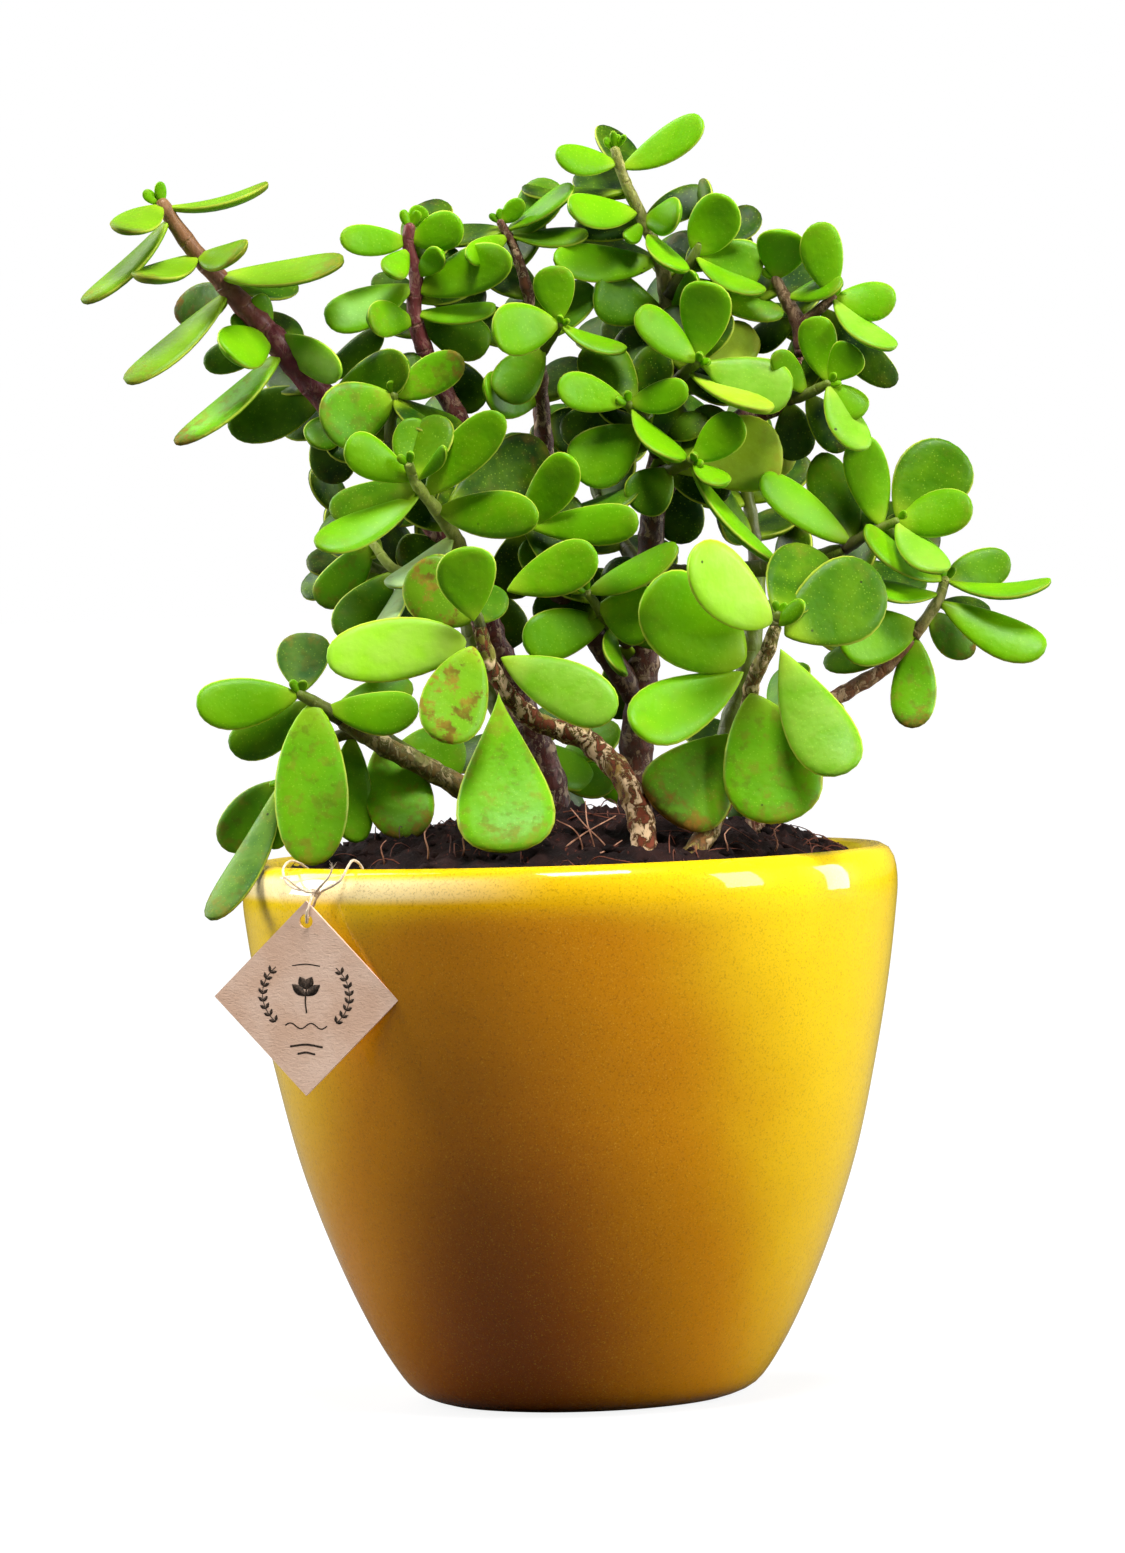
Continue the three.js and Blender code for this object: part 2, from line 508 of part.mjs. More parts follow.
// Leaf rows for a back shoot: pairs at even steps, each turned a right angle from the last.
function pairedLeaves({ path, pairs, turn }) {
  const curve = curveOf(path);
  const rows = [];
  for (let k = 0; k < pairs; k += 1) {
    const share = (k + 1) / pairs;
    const spot = curve.getPoint(share);
    const along = curve.getTangent(share);
    const across = new THREE.Vector3(0, 0, 1).cross(along).normalize();
    const over = along.clone().cross(across);
    const spread = THREE.MathUtils.degToRad(backPairs.spread - 14 * share);
    const length = backPairs.length * (1.08 - 0.22 * share);
    for (const flip of [0, Math.PI]) {
      const around = THREE.MathUtils.degToRad(turn) + (k * Math.PI) / 2 + flip;
      const out = across.clone().multiplyScalar(Math.cos(around)).addScaledVector(over, Math.sin(around));
      const tip = spot.clone()
        .addScaledVector(along, length * Math.cos(spread))
        .addScaledVector(out, length * Math.sin(spread));
      tip.z -= backPairs.droop * length;
      rows.push([share * (path.length - 1), tip.x, tip.y, tip.z, backPairs.width * (1.05 - 0.2 * share), 50]);
    }
  }
  return rows;
}

// The pot's outside, from the middle of its base up to the lip, as [radius, height].
function potOutside() {
  return [
    [0, 0], [pot.foot, 0], [31.5, 2.4], [36.1, 8.6], [42.7, 21.6], [50.3, 42], [55.1, 61.7],
    [pot.rim, 92], [59.7, 96.6], [58.5, 99.3], [57.2, pot.height],
  ];
}

function potInside() {
  return [
    [55.6, 99.4], [pot.rim - pot.wall, 97.4], [54.4, 92], [49.7, 62], [44.9, 42], [37.3, 22],
    [27, pot.floor], [0, pot.floor],
  ];
}

function turned(profile, sides) {
  const points = profile.map(([radius, height]) => new THREE.Vector2(radius, height));
  return new THREE.LatheGeometry(points, sides).rotateX(Math.PI / 2);
}

function addPot() {
  const solid = toSolid(turned([...potOutside(), ...potInside()], pot.sides));
  place("pot", solid, solid, "glaze");
}

// Height of the heaped soil above its edge, with low lumps.
function soilHeight(x, y) {
  const share = Math.min(Math.hypot(x, y) / 54, 1);
  const lumps = 0.8 * Math.sin(x / 6 + 1) * Math.cos(y / 7) + 0.6 * Math.sin((x - y) / 4.3);
  return 97.2 + (soilRise + lumps) * (1 - share ** 2.6);
}

function addSoil() {
  const rings = [54.1, 44, 31, 16, 0].map((radius) => [radius, 97]);
  const inside = potInside().slice(2, -1).reverse().map(([radius, height]) => [radius - gap, height + gap]);
  const geometry = turned([[0, pot.floor + gap], ...inside, ...rings], soilSides);
  const spots = geometry.attributes.position;
  for (let i = 0; i < spots.count; i += 1) {
    if (spots.getZ(i) > 96) spots.setZ(i, soilHeight(spots.getX(i), spots.getY(i)));
  }
  const solid = toSolid(geometry);
  place("soil", solid, solid, "soil");
}

function addStems() {
  for (const [name, stem] of Object.entries(stems)) {
    const make = (grow) => stemSolid(stem.path, stem.radii, woodSides, grow);
    place(name, make(0), make(gap), "bark");
  }
}

// The tag: a square sheet stood on one corner, with a round hole near its top corner.
function addTag() {
  const reach = tag.side / Math.SQRT2;
  const outline = new THREE.Shape([[0, -reach], [reach, 0], [0, reach], [-reach, 0]]
    .map(([x, y]) => new THREE.Vector2(x, y)));
  outline.holes.push(new THREE.Path().absarc(0, reach - tag.holeDrop, tag.hole, 0, 2 * Math.PI, true));
  const geometry = new THREE.ExtrudeGeometry(outline, {
    depth: tag.thick, bevelEnabled: false, curveSegments: 6,
  });
  geometry.translate(0, 0, -tag.thick / 2).rotateZ(-THREE.MathUtils.degToRad(tag.tilt));
  geometry.rotateX(Math.PI / 2).rotateZ(-THREE.MathUtils.degToRad(tag.turn)).translate(...tag.middle);
  const solid = toSolid(geometry);
  place("tag", solid, solid, "paper");
}

function addTwine() {
  const section = new THREE.Shape();
  const tube = (radius) => {
    section.curves = [];
    section.absarc(0, 0, radius, 0, 2 * Math.PI);
    return toSolid(new THREE.ExtrudeGeometry(section, {
      steps: twine.steps, curveSegments: twine.quarterSides, extrudePath: curveOf(twinePath),
    }));
  };
  place("tag_string", tube(twine.thick / 2), tube(twine.thick / 2 + gap), "twine");
}

function addFrontLeaves() {
  for (const [name, [base, tip, width, lift]] of Object.entries(frontLeaves)) {
    const make = (grow) => leafSolid(vector(base), vector(tip), width, lift, grow);
    place(name, make(0), make(gap), "leaf");
  }
}

function addShoots() {
  for (const [name, shoot] of Object.entries(shoots)) {
    place(name, shootSolid(shoot, 0), shootSolid(shoot, gap), "leaf");
  }
  for (const [name, back] of Object.entries(backShoots)) {
    const shoot = { path: back.path, radii: backPairs.radii, leaves: pairedLeaves(back) };
    place(name, shootSolid(shoot, 0), shootSolid(shoot, gap), "leaf");
  }
}

addPot();
addStems();
addSoil();
addTag();
addTwine();
addFrontLeaves();
addShoots();

export default group;
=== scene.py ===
# A small jade plant in a glazed pot, with a paper tag on a loop of twine.
# Metres in Blender, +Z up, origin under the middle of the pot, -Y is the front.
# The plant's plan, below, is in millimetres.
import math
import bpy
import numpy as np
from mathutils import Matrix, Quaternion, Vector


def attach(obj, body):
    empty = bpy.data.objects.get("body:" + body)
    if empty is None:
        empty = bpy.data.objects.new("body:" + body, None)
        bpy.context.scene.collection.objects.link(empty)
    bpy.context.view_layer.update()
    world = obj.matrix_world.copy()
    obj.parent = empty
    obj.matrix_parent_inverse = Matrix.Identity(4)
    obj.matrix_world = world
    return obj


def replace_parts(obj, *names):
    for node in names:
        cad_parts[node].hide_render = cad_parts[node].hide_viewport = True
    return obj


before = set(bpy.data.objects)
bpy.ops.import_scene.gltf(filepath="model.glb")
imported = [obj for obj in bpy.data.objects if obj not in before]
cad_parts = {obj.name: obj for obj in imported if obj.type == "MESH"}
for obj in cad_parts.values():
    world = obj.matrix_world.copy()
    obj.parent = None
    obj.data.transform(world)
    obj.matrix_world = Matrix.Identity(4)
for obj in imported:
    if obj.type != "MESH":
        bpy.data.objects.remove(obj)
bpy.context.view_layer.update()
scene = bpy.context.scene
mm = 0.001


def linear(red, green, blue):
    # a colour as it is seen on a screen, 0 to 255, turned to the values that light adds up in
    share = np.array([red, green, blue]) / 255
    return np.where(share < 0.04045, share / 12.92, ((share + 0.055) / 1.055) ** 2.4)


def solid(red, green, blue):
    return (*linear(red, green, blue).tolist(), 1)


# Camera
cameraSet = {"aim": (-0.0007, 0, 0.11395), "height": 0.155, "distance": 1.36, "roll": 1.9, "shown": 0.2845}


def makeCamera(p):
    eye = Vector((p["aim"][0], -p["distance"], p["height"]))
    look = Vector(p["aim"]) - eye
    lens = bpy.data.cameras.new("camera")
    lens.lens = lens.sensor_width * look.length / p["shown"]
    camera = bpy.data.objects.new("camera", lens)
    camera.location = eye
    camera.rotation_mode = "QUATERNION"
    rolled = Quaternion((0, 0, 1), -math.radians(p["roll"]))
    camera.rotation_quaternion = look.to_track_quat("-Z", "Y") @ rolled
    scene.collection.objects.link(camera)
    scene.camera = camera


# Lines and tubes

def curveAt(path, places):
    # A smooth line through the points, read at places counted in points from 0. Between two points it is
    # the cubic that starts and ends on them with pulls worked out from the four points about it, each gap
    # counted as the root of its length.
    p = np.array(path, float)
    p = np.vstack([2 * p[:1] - p[1:2], p, 2 * p[-1:] - p[-2:-1]])
    places = np.asarray(places, float)
    k = np.clip(places.astype(int), 0, len(path) - 2)
    t = (places - k)[:, None]
    a, b, c, d = p[k], p[k + 1], p[k + 2], p[k + 3]
    gaps = ((a, b), (b, c), (c, d))
    gapA, gapB, gapC = (np.linalg.norm(v - u, axis=1, keepdims=True) ** 0.5 for u, v in gaps)
    pullB = ((b - a) / gapA - (c - a) / (gapA + gapB) + (c - b) / gapB) * gapB
    pullC = ((c - b) / gapB - (d - b) / (gapB + gapC) + (d - c) / gapC) * gapB
    return ((2 * t**3 - 3 * t**2 + 1) * b + (t**3 - 2 * t**2 + t) * pullB
            + (3 * t**2 - 2 * t**3) * c + (t**3 - t**2) * pullC)


def evenly(path, count):
    # the same line at places an equal way apart, and how far along each one is
    fine = curveAt(path, np.linspace(0, len(path) - 1, 40 * len(path)))
    run = np.concatenate([[0], np.cumsum(np.linalg.norm(np.diff(fine, axis=0), axis=1))])
    marks = np.linspace(0, run[-1], count)
    return np.stack([np.interp(marks, run, fine[:, i]) for i in range(3)], 1), marks


def unit(v):
    return v / np.maximum(np.linalg.norm(v, axis=-1, keepdims=True), 1e-9)


def framesAlong(line, turning=False):
    # the line's direction and two directions square to it, carried from ring to ring
    along = unit(np.gradient(line, axis=0))
    if turning:
        normal = [unit(np.cross(along[0], [0.3, 0.5, 0.8]))]
        for direction in along[1:]:
            normal.append(unit(normal[-1] - direction * (normal[-1] @ direction)))
        normal = np.array(normal)
    else:
        steady = np.eye(3)[np.argmin(np.abs(along.mean(0)))]
        normal = unit(steady - along * (along @ steady)[:, None])
    return along, normal, np.cross(along, normal)


def tube(path, radii, step, around, relief=None, turning=False):
    # Rings of points about a smooth line: centre + radius * (cos a * normal + sin a * side), rounded off at
    # its far end. Radius runs evenly from the first to the last of radii, times the relief.
    length = evenly(path, 2)[1][-1]
    rings = max(int(length / step), 6)
    line, run = evenly(path, rings)
    along, normal, side = framesAlong(line, turning)
    radius = np.interp(run / run[-1], np.linspace(0, 1, len(radii)), radii)
    cap = radii[-1] * np.array([0.35, 0.65, 0.85])
    line = np.vstack([line, line[-1] + along[-1] * cap[:, None]])
    radius = np.concatenate([radius, radii[-1] * np.sqrt(1 - (cap / radii[-1]) ** 2)])
    run = np.concatenate([run, run[-1] + cap])
    normal, side = (np.vstack([v, np.repeat(v[-1:], 3, 0)]) for v in (normal, side))
    angle = 2 * np.pi * np.arange(around) / around
    grown = radius[:, None] * (1 if relief is None else relief(run[:, None], angle[None], line))
    rings = (line[:, None] + grown[..., None] * (np.cos(angle)[None, :, None] * normal[:, None]
             + np.sin(angle)[None, :, None] * side[:, None]))
    ends = [line[0], line[-1] + along[-1] * radii[-1] * 0.15]
    return rings, ends, run


# Meshes

def gather(bodies):
    # Points and faces of closed bodies, each of rings of points with a pole at either end.
    points, faces, start = [], [], 0
    for rings, ends in bodies:
        count, around = rings.shape[:2]
        points += [rings.reshape(-1, 3), np.array(ends)]
        ring, turn = (v.ravel() for v in np.meshgrid(np.arange(count - 1), np.arange(around), indexing="ij"))
        near, far, nextTurn = ring * around, (ring + 1) * around, (turn + 1) % around
        faces += (np.stack([near + turn, near + nextTurn, far + nextTurn, far + turn], 1) + start).tolist()
        turn, last = np.arange(around), (count - 1) * around
        nextTurn = (turn + 1) % around
        faces += (np.stack([np.full(around, count * around), nextTurn, turn], 1) + start).tolist()
        pole = np.full(around, count * around + 1)
        faces += (np.stack([pole, last + turn, last + nextTurn], 1) + start).tolist()
        start += count * around + 2
    return np.vstack(points), faces


def piece(name, points, faces, material, slot, values=None):
    # a mesh from points in millimetres, with values on its points for the material to read
    mesh = bpy.data.meshes.new(name)
    mesh.from_pydata((points * mm).tolist(), [], faces)
    for key, value in (values or {}).items():
        kind, field = ("FLOAT", "value") if value.ndim == 1 else ("FLOAT_COLOR", "color")
        if value.ndim == 2:
            value = np.hstack([value, np.ones((len(value), 1))])
        mesh.attributes.new(key, kind, "POINT").data.foreach_set(field, value.ravel())
    mesh.polygons.foreach_set("use_smooth", [True] * len(faces))
    mesh.materials.append(material)
    made = bpy.data.objects.new(name, mesh)
    scene.collection.objects.link(made)
    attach(made, "root")
    return made


def waves(points, size, seed, count=28):
    # smooth lumps of about the given size: the sum of many slanted sine waves, near -1 to 1
    rng = np.random.default_rng(seed)
    way = unit(rng.normal(size=(count, 3))) * rng.uniform(0.6, 1.5, (count, 1)) * 2 * np.pi / size
    return np.sin(points @ way.T + rng.uniform(0, 2 * np.pi, count)).sum(-1) * (2 / count) ** 0.5 / 1.6


# Shaders

class Wire:
    # a node's output, so that sums on it add Math nodes
    def __init__(self, shader, socket):
        self.shader, self.socket = shader, socket

    def maths(self, kind, first, second=0.0):
        return self.shader.node("ShaderNodeMath", {"operation": kind}, {0: first, 1: second})

    def __add__(self, other):
        return self.maths("ADD", self, other)

    def __sub__(self, other):
        return self.maths("SUBTRACT", self, other)

    def __rsub__(self, other):
        return self.maths("SUBTRACT", other, self)

    def __mul__(self, other):
        return self.maths("MULTIPLY", self, other)

    def __truediv__(self, other):
        return self.maths("DIVIDE", self, other)

    def __abs__(self):
        return self.maths("ABSOLUTE", self)

    def fraction(self):
        return self.maths("FRACT", self)

    def between(self, low, high):
        # 0 below low, 1 above high and a smooth rise between them
        return self.shader.node("ShaderNodeMapRange", {"interpolation_type": "SMOOTHSTEP"},
                                {"Value": self, "From Min": low, "From Max": high})

    __radd__, __rmul__ = __add__, __mul__


class Shader:
    def __init__(self, name, **fixed):
        self.material = bpy.data.materials.new(name)
        self.material.use_nodes = True
        self.nodes, self.links = self.material.node_tree.nodes, self.material.node_tree.links
        self.surface = self.nodes["Principled BSDF"]
        for key, value in fixed.items():
            self.surface.inputs[key.replace("_", " ")].default_value = value
        self.spot = self.node("ShaderNodeTexCoord", output="Object")

    def node(self, kind, settings=None, inputs=None, output=0):
        made = self.nodes.new(kind)
        for key, value in (settings or {}).items():
            setattr(made, key, value)
        for key, value in (inputs or {}).items():
            if isinstance(value, Wire):
                self.links.new(value.socket, made.inputs[key])
            else:
                made.inputs[key].default_value = value
        return Wire(self, made.outputs[output])

    def feed(self, **inputs):
        for key, wire in inputs.items():
            self.links.new(wire.socket, self.surface.inputs[key.replace("_", " ")])
        return self.material

    def noise(self, scale, detail=3.0, rough=0.55, at=None, warp=0.0):
        inputs = {"Vector": at or self.spot, "Scale": scale, "Detail": detail}
        return self.node("ShaderNodeTexNoise", None, {**inputs, "Roughness": rough, "Distortion": warp})

    def cells(self, scale):
        return self.node("ShaderNodeTexVoronoi", None, {"Vector": self.spot, "Scale": scale}, "Distance")

    def stretched(self, x, y, z):
        return self.node("ShaderNodeMapping", None, {"Vector": self.spot, "Scale": (x, y, z)})

    def mix(self, share, first, second):
        settings = {"data_type": "RGBA", "blend_type": "MIX", "clamp_factor": True}
        return self.node("ShaderNodeMix", settings, {0: share, 6: first, 7: second}, 2)

    def value(self, name):
        return self.node("ShaderNodeAttribute", {"attribute_name": name}, output="Fac")

    def colour(self, name):
        return self.node("ShaderNodeAttribute", {"attribute_name": name}, output="Color")

    def bump(self, height, depth, strength=1.0, under=None):
        inputs = {"Height": height, "Distance": depth, "Strength": strength}
        return self.node("ShaderNodeBump", None, {**inputs, "Normal": under} if under else inputs)


# Twine: two plies twisted together, tied in a knot over the tag's hole with two short frayed ends

twineSet = {"thick": 0.5, "turn": 1.8, "dent": 0.2, "knotSize": 0.22, "knotPlace": [-45.2, -42.9, 96.2],
            "hairs": 46, "endHairs": 26, "hair": 0.035, "hairLength": 1.2}
# The twine's loop: out of the soil, over the lip, down to the tag's hole and back the same way.
twinePath = [
  [-46.2, -25.4, 98.9], [-48.3, -27.2, 100.7], [-50, -29.6, 101.3], [-51.2, -32.4, 100],
  [-50.6, -34.8, 97.8], [-48.8, -37.6, 96.6], [-46.8, -40.3, 96.5], [-45.7, -43, 96.1], [-46.2, -44.9, 94.3],
  [-46.8, -45.3, 92.5], [-46.9, -44.6, 91.4], [-46.9, -43.5, 90.9], [-46.7, -42.3, 91.6],
  [-45.9, -41.7, 93.3], [-45, -42.1, 95.2], [-43.9, -43.2, 96.4], [-42.2, -44.7, 97.2], [-40.6, -45.4, 98.3],
  [-39.4, -44.4, 100.3], [-38.5, -42.2, 101.5], [-37.4, -39.6, 100.9], [-36.4, -37.8, 98.9],
]
twineEnds = [
    [[-45.1, -43.4, 96.3], [-43.9, -44.9, 97.6], [-42.6, -45.6, 99], [-41.9, -46, 100.6]],
    [[-45.3, -43.4, 96.3], [-46.7, -44.9, 96.4], [-48.3, -45.2, 97.3], [-49.9, -45, 98.7]],
]


def makeTwine(p):
    def plies(run, angle, line):
        # two strands: thick where a strand faces out, dented between them, turning along the line
        dent = p["dent"] * np.abs(np.sin(angle + np.pi * run / p["turn"])) ** 6
        return 1 - dent - 0.04 * np.sin(9 * angle - 7 * run)

    made = shaderTwine()
    radius = p["thick"] / 2
    rings, ends, _ = tube(twinePath, [radius, radius], 0.18, 12, plies, turning=True)
    loop = piece("twine_loop", *gather([(rings, ends)]), made, "twine")
    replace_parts(loop, "tag_string")
    # the knot: a three-lobed closed line drawn in tight, and the two ends that leave it
    a = np.linspace(0, 2 * np.pi, 40)
    x, y, z = np.sin(a) + 2 * np.sin(2 * a), -1.2 * np.sin(3 * a), np.cos(a) - 2 * np.cos(2 * a)
    knotLine = np.stack([x, y, z], 1) * p["knotSize"] + p["knotPlace"]
    bodies = [tube(knotLine, [radius * 0.95] * 2, 0.25, 12, plies, turning=True)[:2]]
    taper = [radius, radius * 0.9, radius * 0.55]
    bodies += [tube(line, taper, 0.25, 12, plies, turning=True)[:2] for line in twineEnds]
    knot = piece("twine_knot", *gather(bodies), made, "twine")
    # fine loose fibres, each a short bent hair that starts inside the twine
    rng = np.random.default_rng(7)
    hairs = []
    for k in range(p["hairs"]):
        frayed = k < p["endHairs"]
        line = twineEnds[k % 2] if frayed else twinePath
        share = 0.93 + 0.07 * rng.random() if frayed else rng.random()
        root = curveAt(line, [share * (len(line) - 1)])[0]
        onward = curveAt(line, [len(line) - 1])[0] - curveAt(line, [len(line) - 1.3])[0]
        way = unit(unit(onward) * (1.6 if frayed else 0) + rng.normal(size=3) * 0.8)
        bend = rng.normal(size=3) * 0.25
        reach = p["hairLength"] * rng.uniform(0.5, 1.2)
        path = [root, root + way * reach * 0.5 + bend * 0.3, root + way * reach + bend]
        hairs.append(tube(path, [p["hair"], p["hair"] * 0.4], 0.5, 4)[:2])
    fuzz = piece("twine_fibres", *gather(hairs), made, "twine")
    length = evenly(twinePath, 2)[1][-1] * mm
    (evenly(twinePath, 120)[0] * mm).tolist()


def shaderTwine():
    s = Shader("twineFibre", Sheen_Weight=0.3, Specular_IOR_Level=0.25)
    tone = s.noise(1600, 4)
    fibre = s.noise(5200, 3, at=s.stretched(1, 1, 0.35))
    base = s.mix(tone.between(0.3, 0.7), solid(196, 172, 140), solid(226, 208, 184))
    base = s.mix(fibre.between(0.5, 0.72) * 0.6, base, solid(138, 112, 84))
    return s.feed(Base_Color=base, Roughness=tone * 0.1 + 0.82, Normal=s.bump(fibre, 0.0002, 0.7))


# Pot

potSet = {"rings": 150, "around": 192}
potOutside = [[0, 0], [25, 0], [28.2, 0.7], [31.5, 2.4], [36.1, 8.6], [42.7, 21.6], [50.3, 42], [55.1, 61.7],
              [58, 77], [59.6, 88.5], [60, 92.5], [59.8, 96.2], [59, 98.6], [57.6, 99.9]]
potInside = [[56.2, 99.8], [55.1, 98.6], [54.6, 96.5], [54.3, 92], [49.7, 62], [44.9, 42], [37.3, 22],
             [27, 7], [0, 7]]


def makePot(p):
    # the profile turned about Z, with a slight wander in its radius from throwing
    line, _ = evenly([[r, 0, z] for r, z in potOutside + potInside], p["rings"])
    angle = 2 * np.pi * np.arange(p["around"]) / p["around"]
    radius, height = line[1:-1, :1], line[1:-1, 2:]
    uneven = 1 + 0.001 * np.sin(3 * angle + 1) + 0.0007 * np.sin(5 * angle + height / 17)
    x, y = radius * uneven * np.cos(angle), radius * uneven * np.sin(angle)
    rings = np.stack([x, y, height + 0 * angle], -1)
    poles = [[0, 0, 0], [0, 0, 7]]
    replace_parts(piece("pot_shell", *gather([(rings, poles)]), shaderGlaze(), "glaze"), "pot")


def shaderGlaze():
    s = Shader("amberGlaze", Coat_Roughness=0.03, Coat_IOR=1.36, Specular_IOR_Level=0.04)
    across, depth, height = (s.node("ShaderNodeSeparateXYZ", None, {0: s.spot}, i) for i in range(3))
    cloud = s.noise(24, 3)
    # the glaze is brown low down and on the left of the front, part glaze that pools and part painted shade,
    # lighter again at the far left edge as painted light, and thins to yellow elsewhere
    left = 1 - (across + depth * 0.2 + cloud * 0.02 - 0.01).between(-0.022, 0.048)
    edge = (0 - across).between(0.018, 0.058)
    front = (0 - depth).between(-0.02, 0.02)
    low = 1 - height.between(0, 0.1)
    middle = left * (1 - edge * 0.85) * front
    poolAndShade = middle * 0.56 + low * 0.18 + low * middle * 0.24
    poolAndShade = poolAndShade * (1 - height.between(0.086, 0.097) * 0.6)
    yellow = s.mix(cloud, solid(232, 196, 12), solid(240, 206, 22))
    base = s.mix(poolAndShade.between(0, 0.5), yellow, solid(198, 128, 0))
    base = s.mix(poolAndShade.between(0.45, 1.1), base, solid(146, 66, 0))
    # a painted highlight: a pale cream band along the left of the lip
    lipHighlight = height.between(0.0935, 0.0955) * (1 - height.between(0.0975, 0.099)) * front
    base = s.mix(lipHighlight * (0 - across - cloud * 0.02).between(-0.01, 0.03) * 0.8, base, solid(252, 232, 180))
    grain = s.noise(2600, 2, 0.6)
    base = s.mix(grain.between(0.5, 0.72) * 0.5, base, s.mix(0.7, base, solid(96, 48, 0)))
    base = s.mix(s.noise(3300, 2).between(0.56, 0.76) * 0.4, base, s.mix(0.7, base, solid(252, 214, 70)))
    pits = s.cells(260)
    base = s.mix((1 - pits.between(0.02, 0.06)) * s.noise(40).between(0.62, 0.66), base, solid(58, 30, 6))
    # bare fired clay under the foot
    bare = 1 - height.between(0.0002, 0.0009)
    base = s.mix(bare, base, solid(196, 158, 122))
    ripple = s.noise(70, 2)
    return s.feed(Base_Color=base, Roughness=s.noise(300) * 0.12 + 0.22 + bare * 0.5,
                  Coat_Weight=0.7 - bare * 0.7,
                  Normal=s.bump(grain, 0.00005, 0.35, s.bump(ripple, 0.0006, 0.3)))


# Soil

soilSet = {"rings": 96, "around": 220, "grain": 0.55, "floor": 88, "crumbs": 520, "fibres": 130}


def soilHeight(x, y):
    share = np.minimum(np.hypot(x, y) / 54, 1)
    lumps = 0.8 * np.sin(x / 6 + 1) * np.cos(y / 7) + 0.6 * np.sin((x - y) / 4.3)
    return 97.2 + (9 + lumps) * (1 - share**2.6)


def makeSoil(p):
    # a heaped disc: rings from the wall in to the middle, raised by coarse and fine lumps
    earth = shaderSoil()
    angle = 2 * np.pi * np.arange(p["around"]) / p["around"]
    radius = np.concatenate([[20, 44, 52, 53.4, 54.1], np.linspace(53.9, 0.4, p["rings"])])[:, None]
    x, y = radius * np.cos(angle), radius * np.sin(angle)
    z = soilHeight(x, y)
    spots = np.stack([x, y, z], -1)
    calm = np.clip((54.2 - radius) / 4, 0, 1)
    fine = waves(spots, 2.4, 3) + 0.8 * np.abs(waves(spots, 1.2, 4))
    z = z + calm * (p["grain"] * fine + 0.7 * waves(spots, 8, 5))
    z = np.where(np.arange(len(radius))[:, None] < 4, p["floor"], z)
    z[4] = 96.8
    rings = np.stack([x, y, z], -1)
    poles = [[0, 0, p["floor"]], [0, 0, float(z[-1].mean())]]
    bed = piece("soil_bed", *gather([(rings, poles)]), earth, "soil")
    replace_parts(bed, "soil")
    # crumbs: small uneven balls lying on it
    rng = np.random.default_rng(11)
    turns, levels = 2 * np.pi * np.arange(6) / 6, np.pi * np.array([0.2, 0.5, 0.8])
    crumbs = []
    for _ in range(p["crumbs"]):
        away, round_ = 52 * np.sqrt(rng.random()), rng.uniform(0, 2 * np.pi)
        middle = np.array([away * np.cos(round_), away * np.sin(round_), 0])
        size = 0.45 + 0.9 * rng.random() ** 2.5
        middle[2] = soilHeight(middle[0], middle[1]) + 0.3 * size
        spread = rng.uniform(0.6, 1.3, (3, 6, 1)) * size
        wide = np.sin(levels)[:, None]
        high = -np.cos(levels)[:, None] + 0 * turns
        ball = np.stack([wide * np.cos(turns), wide * np.sin(turns), high], -1)
        ball = spread * ball * [1.2, 1, 0.7]
        crumbs.append((ball + middle, [middle - [0, 0, size * 0.7], middle + [0, 0, size * 0.7]]))
    piece("soil_crumbs", *gather(crumbs), earth, "soil")
    # fibres: short bent hairs of coir, lying or standing a little way out
    hairs = []
    for _ in range(p["fibres"]):
        away, round_, way = 50 * np.sqrt(rng.random()), rng.uniform(0, 2 * np.pi), rng.uniform(0, 2 * np.pi)
        start = np.array([away * np.cos(round_), away * np.sin(round_)])
        reach = rng.uniform(4, 13)
        steps = np.linspace(0, 1, 5)[:, None]
        flat = start + steps * reach * np.array([np.cos(way), np.sin(way)])
        flat = flat + rng.normal(size=2) * steps**2 * 3
        flat *= np.minimum(1, 52.5 / np.maximum(np.hypot(*flat.T), 1))[:, None]
        rise = rng.uniform(0.2, 2.6) * np.sin(np.pi * steps[:, 0]) + 0.4
        rise[0] = -0.6
        line = np.column_stack([flat, soilHeight(flat[:, 0], flat[:, 1]) + rise])
        hairs.append(tube(line, [0.13, 0.06], 1.2, 4)[:2])
    piece("soil_fibres", *gather(hairs), shaderRoot("coirFibre", (120, 62, 40), (66, 34, 24)), "soil")
    # pale wiry roots that stand up in the middle at the front
    roots = [tube(line, [0.2, 0.1], 0.8, 6)[:2] for line in rootPaths]
    piece("bare_roots", *gather(roots), shaderRoot("paleRoot", (190, 140, 112), (120, 76, 54)), "soil")


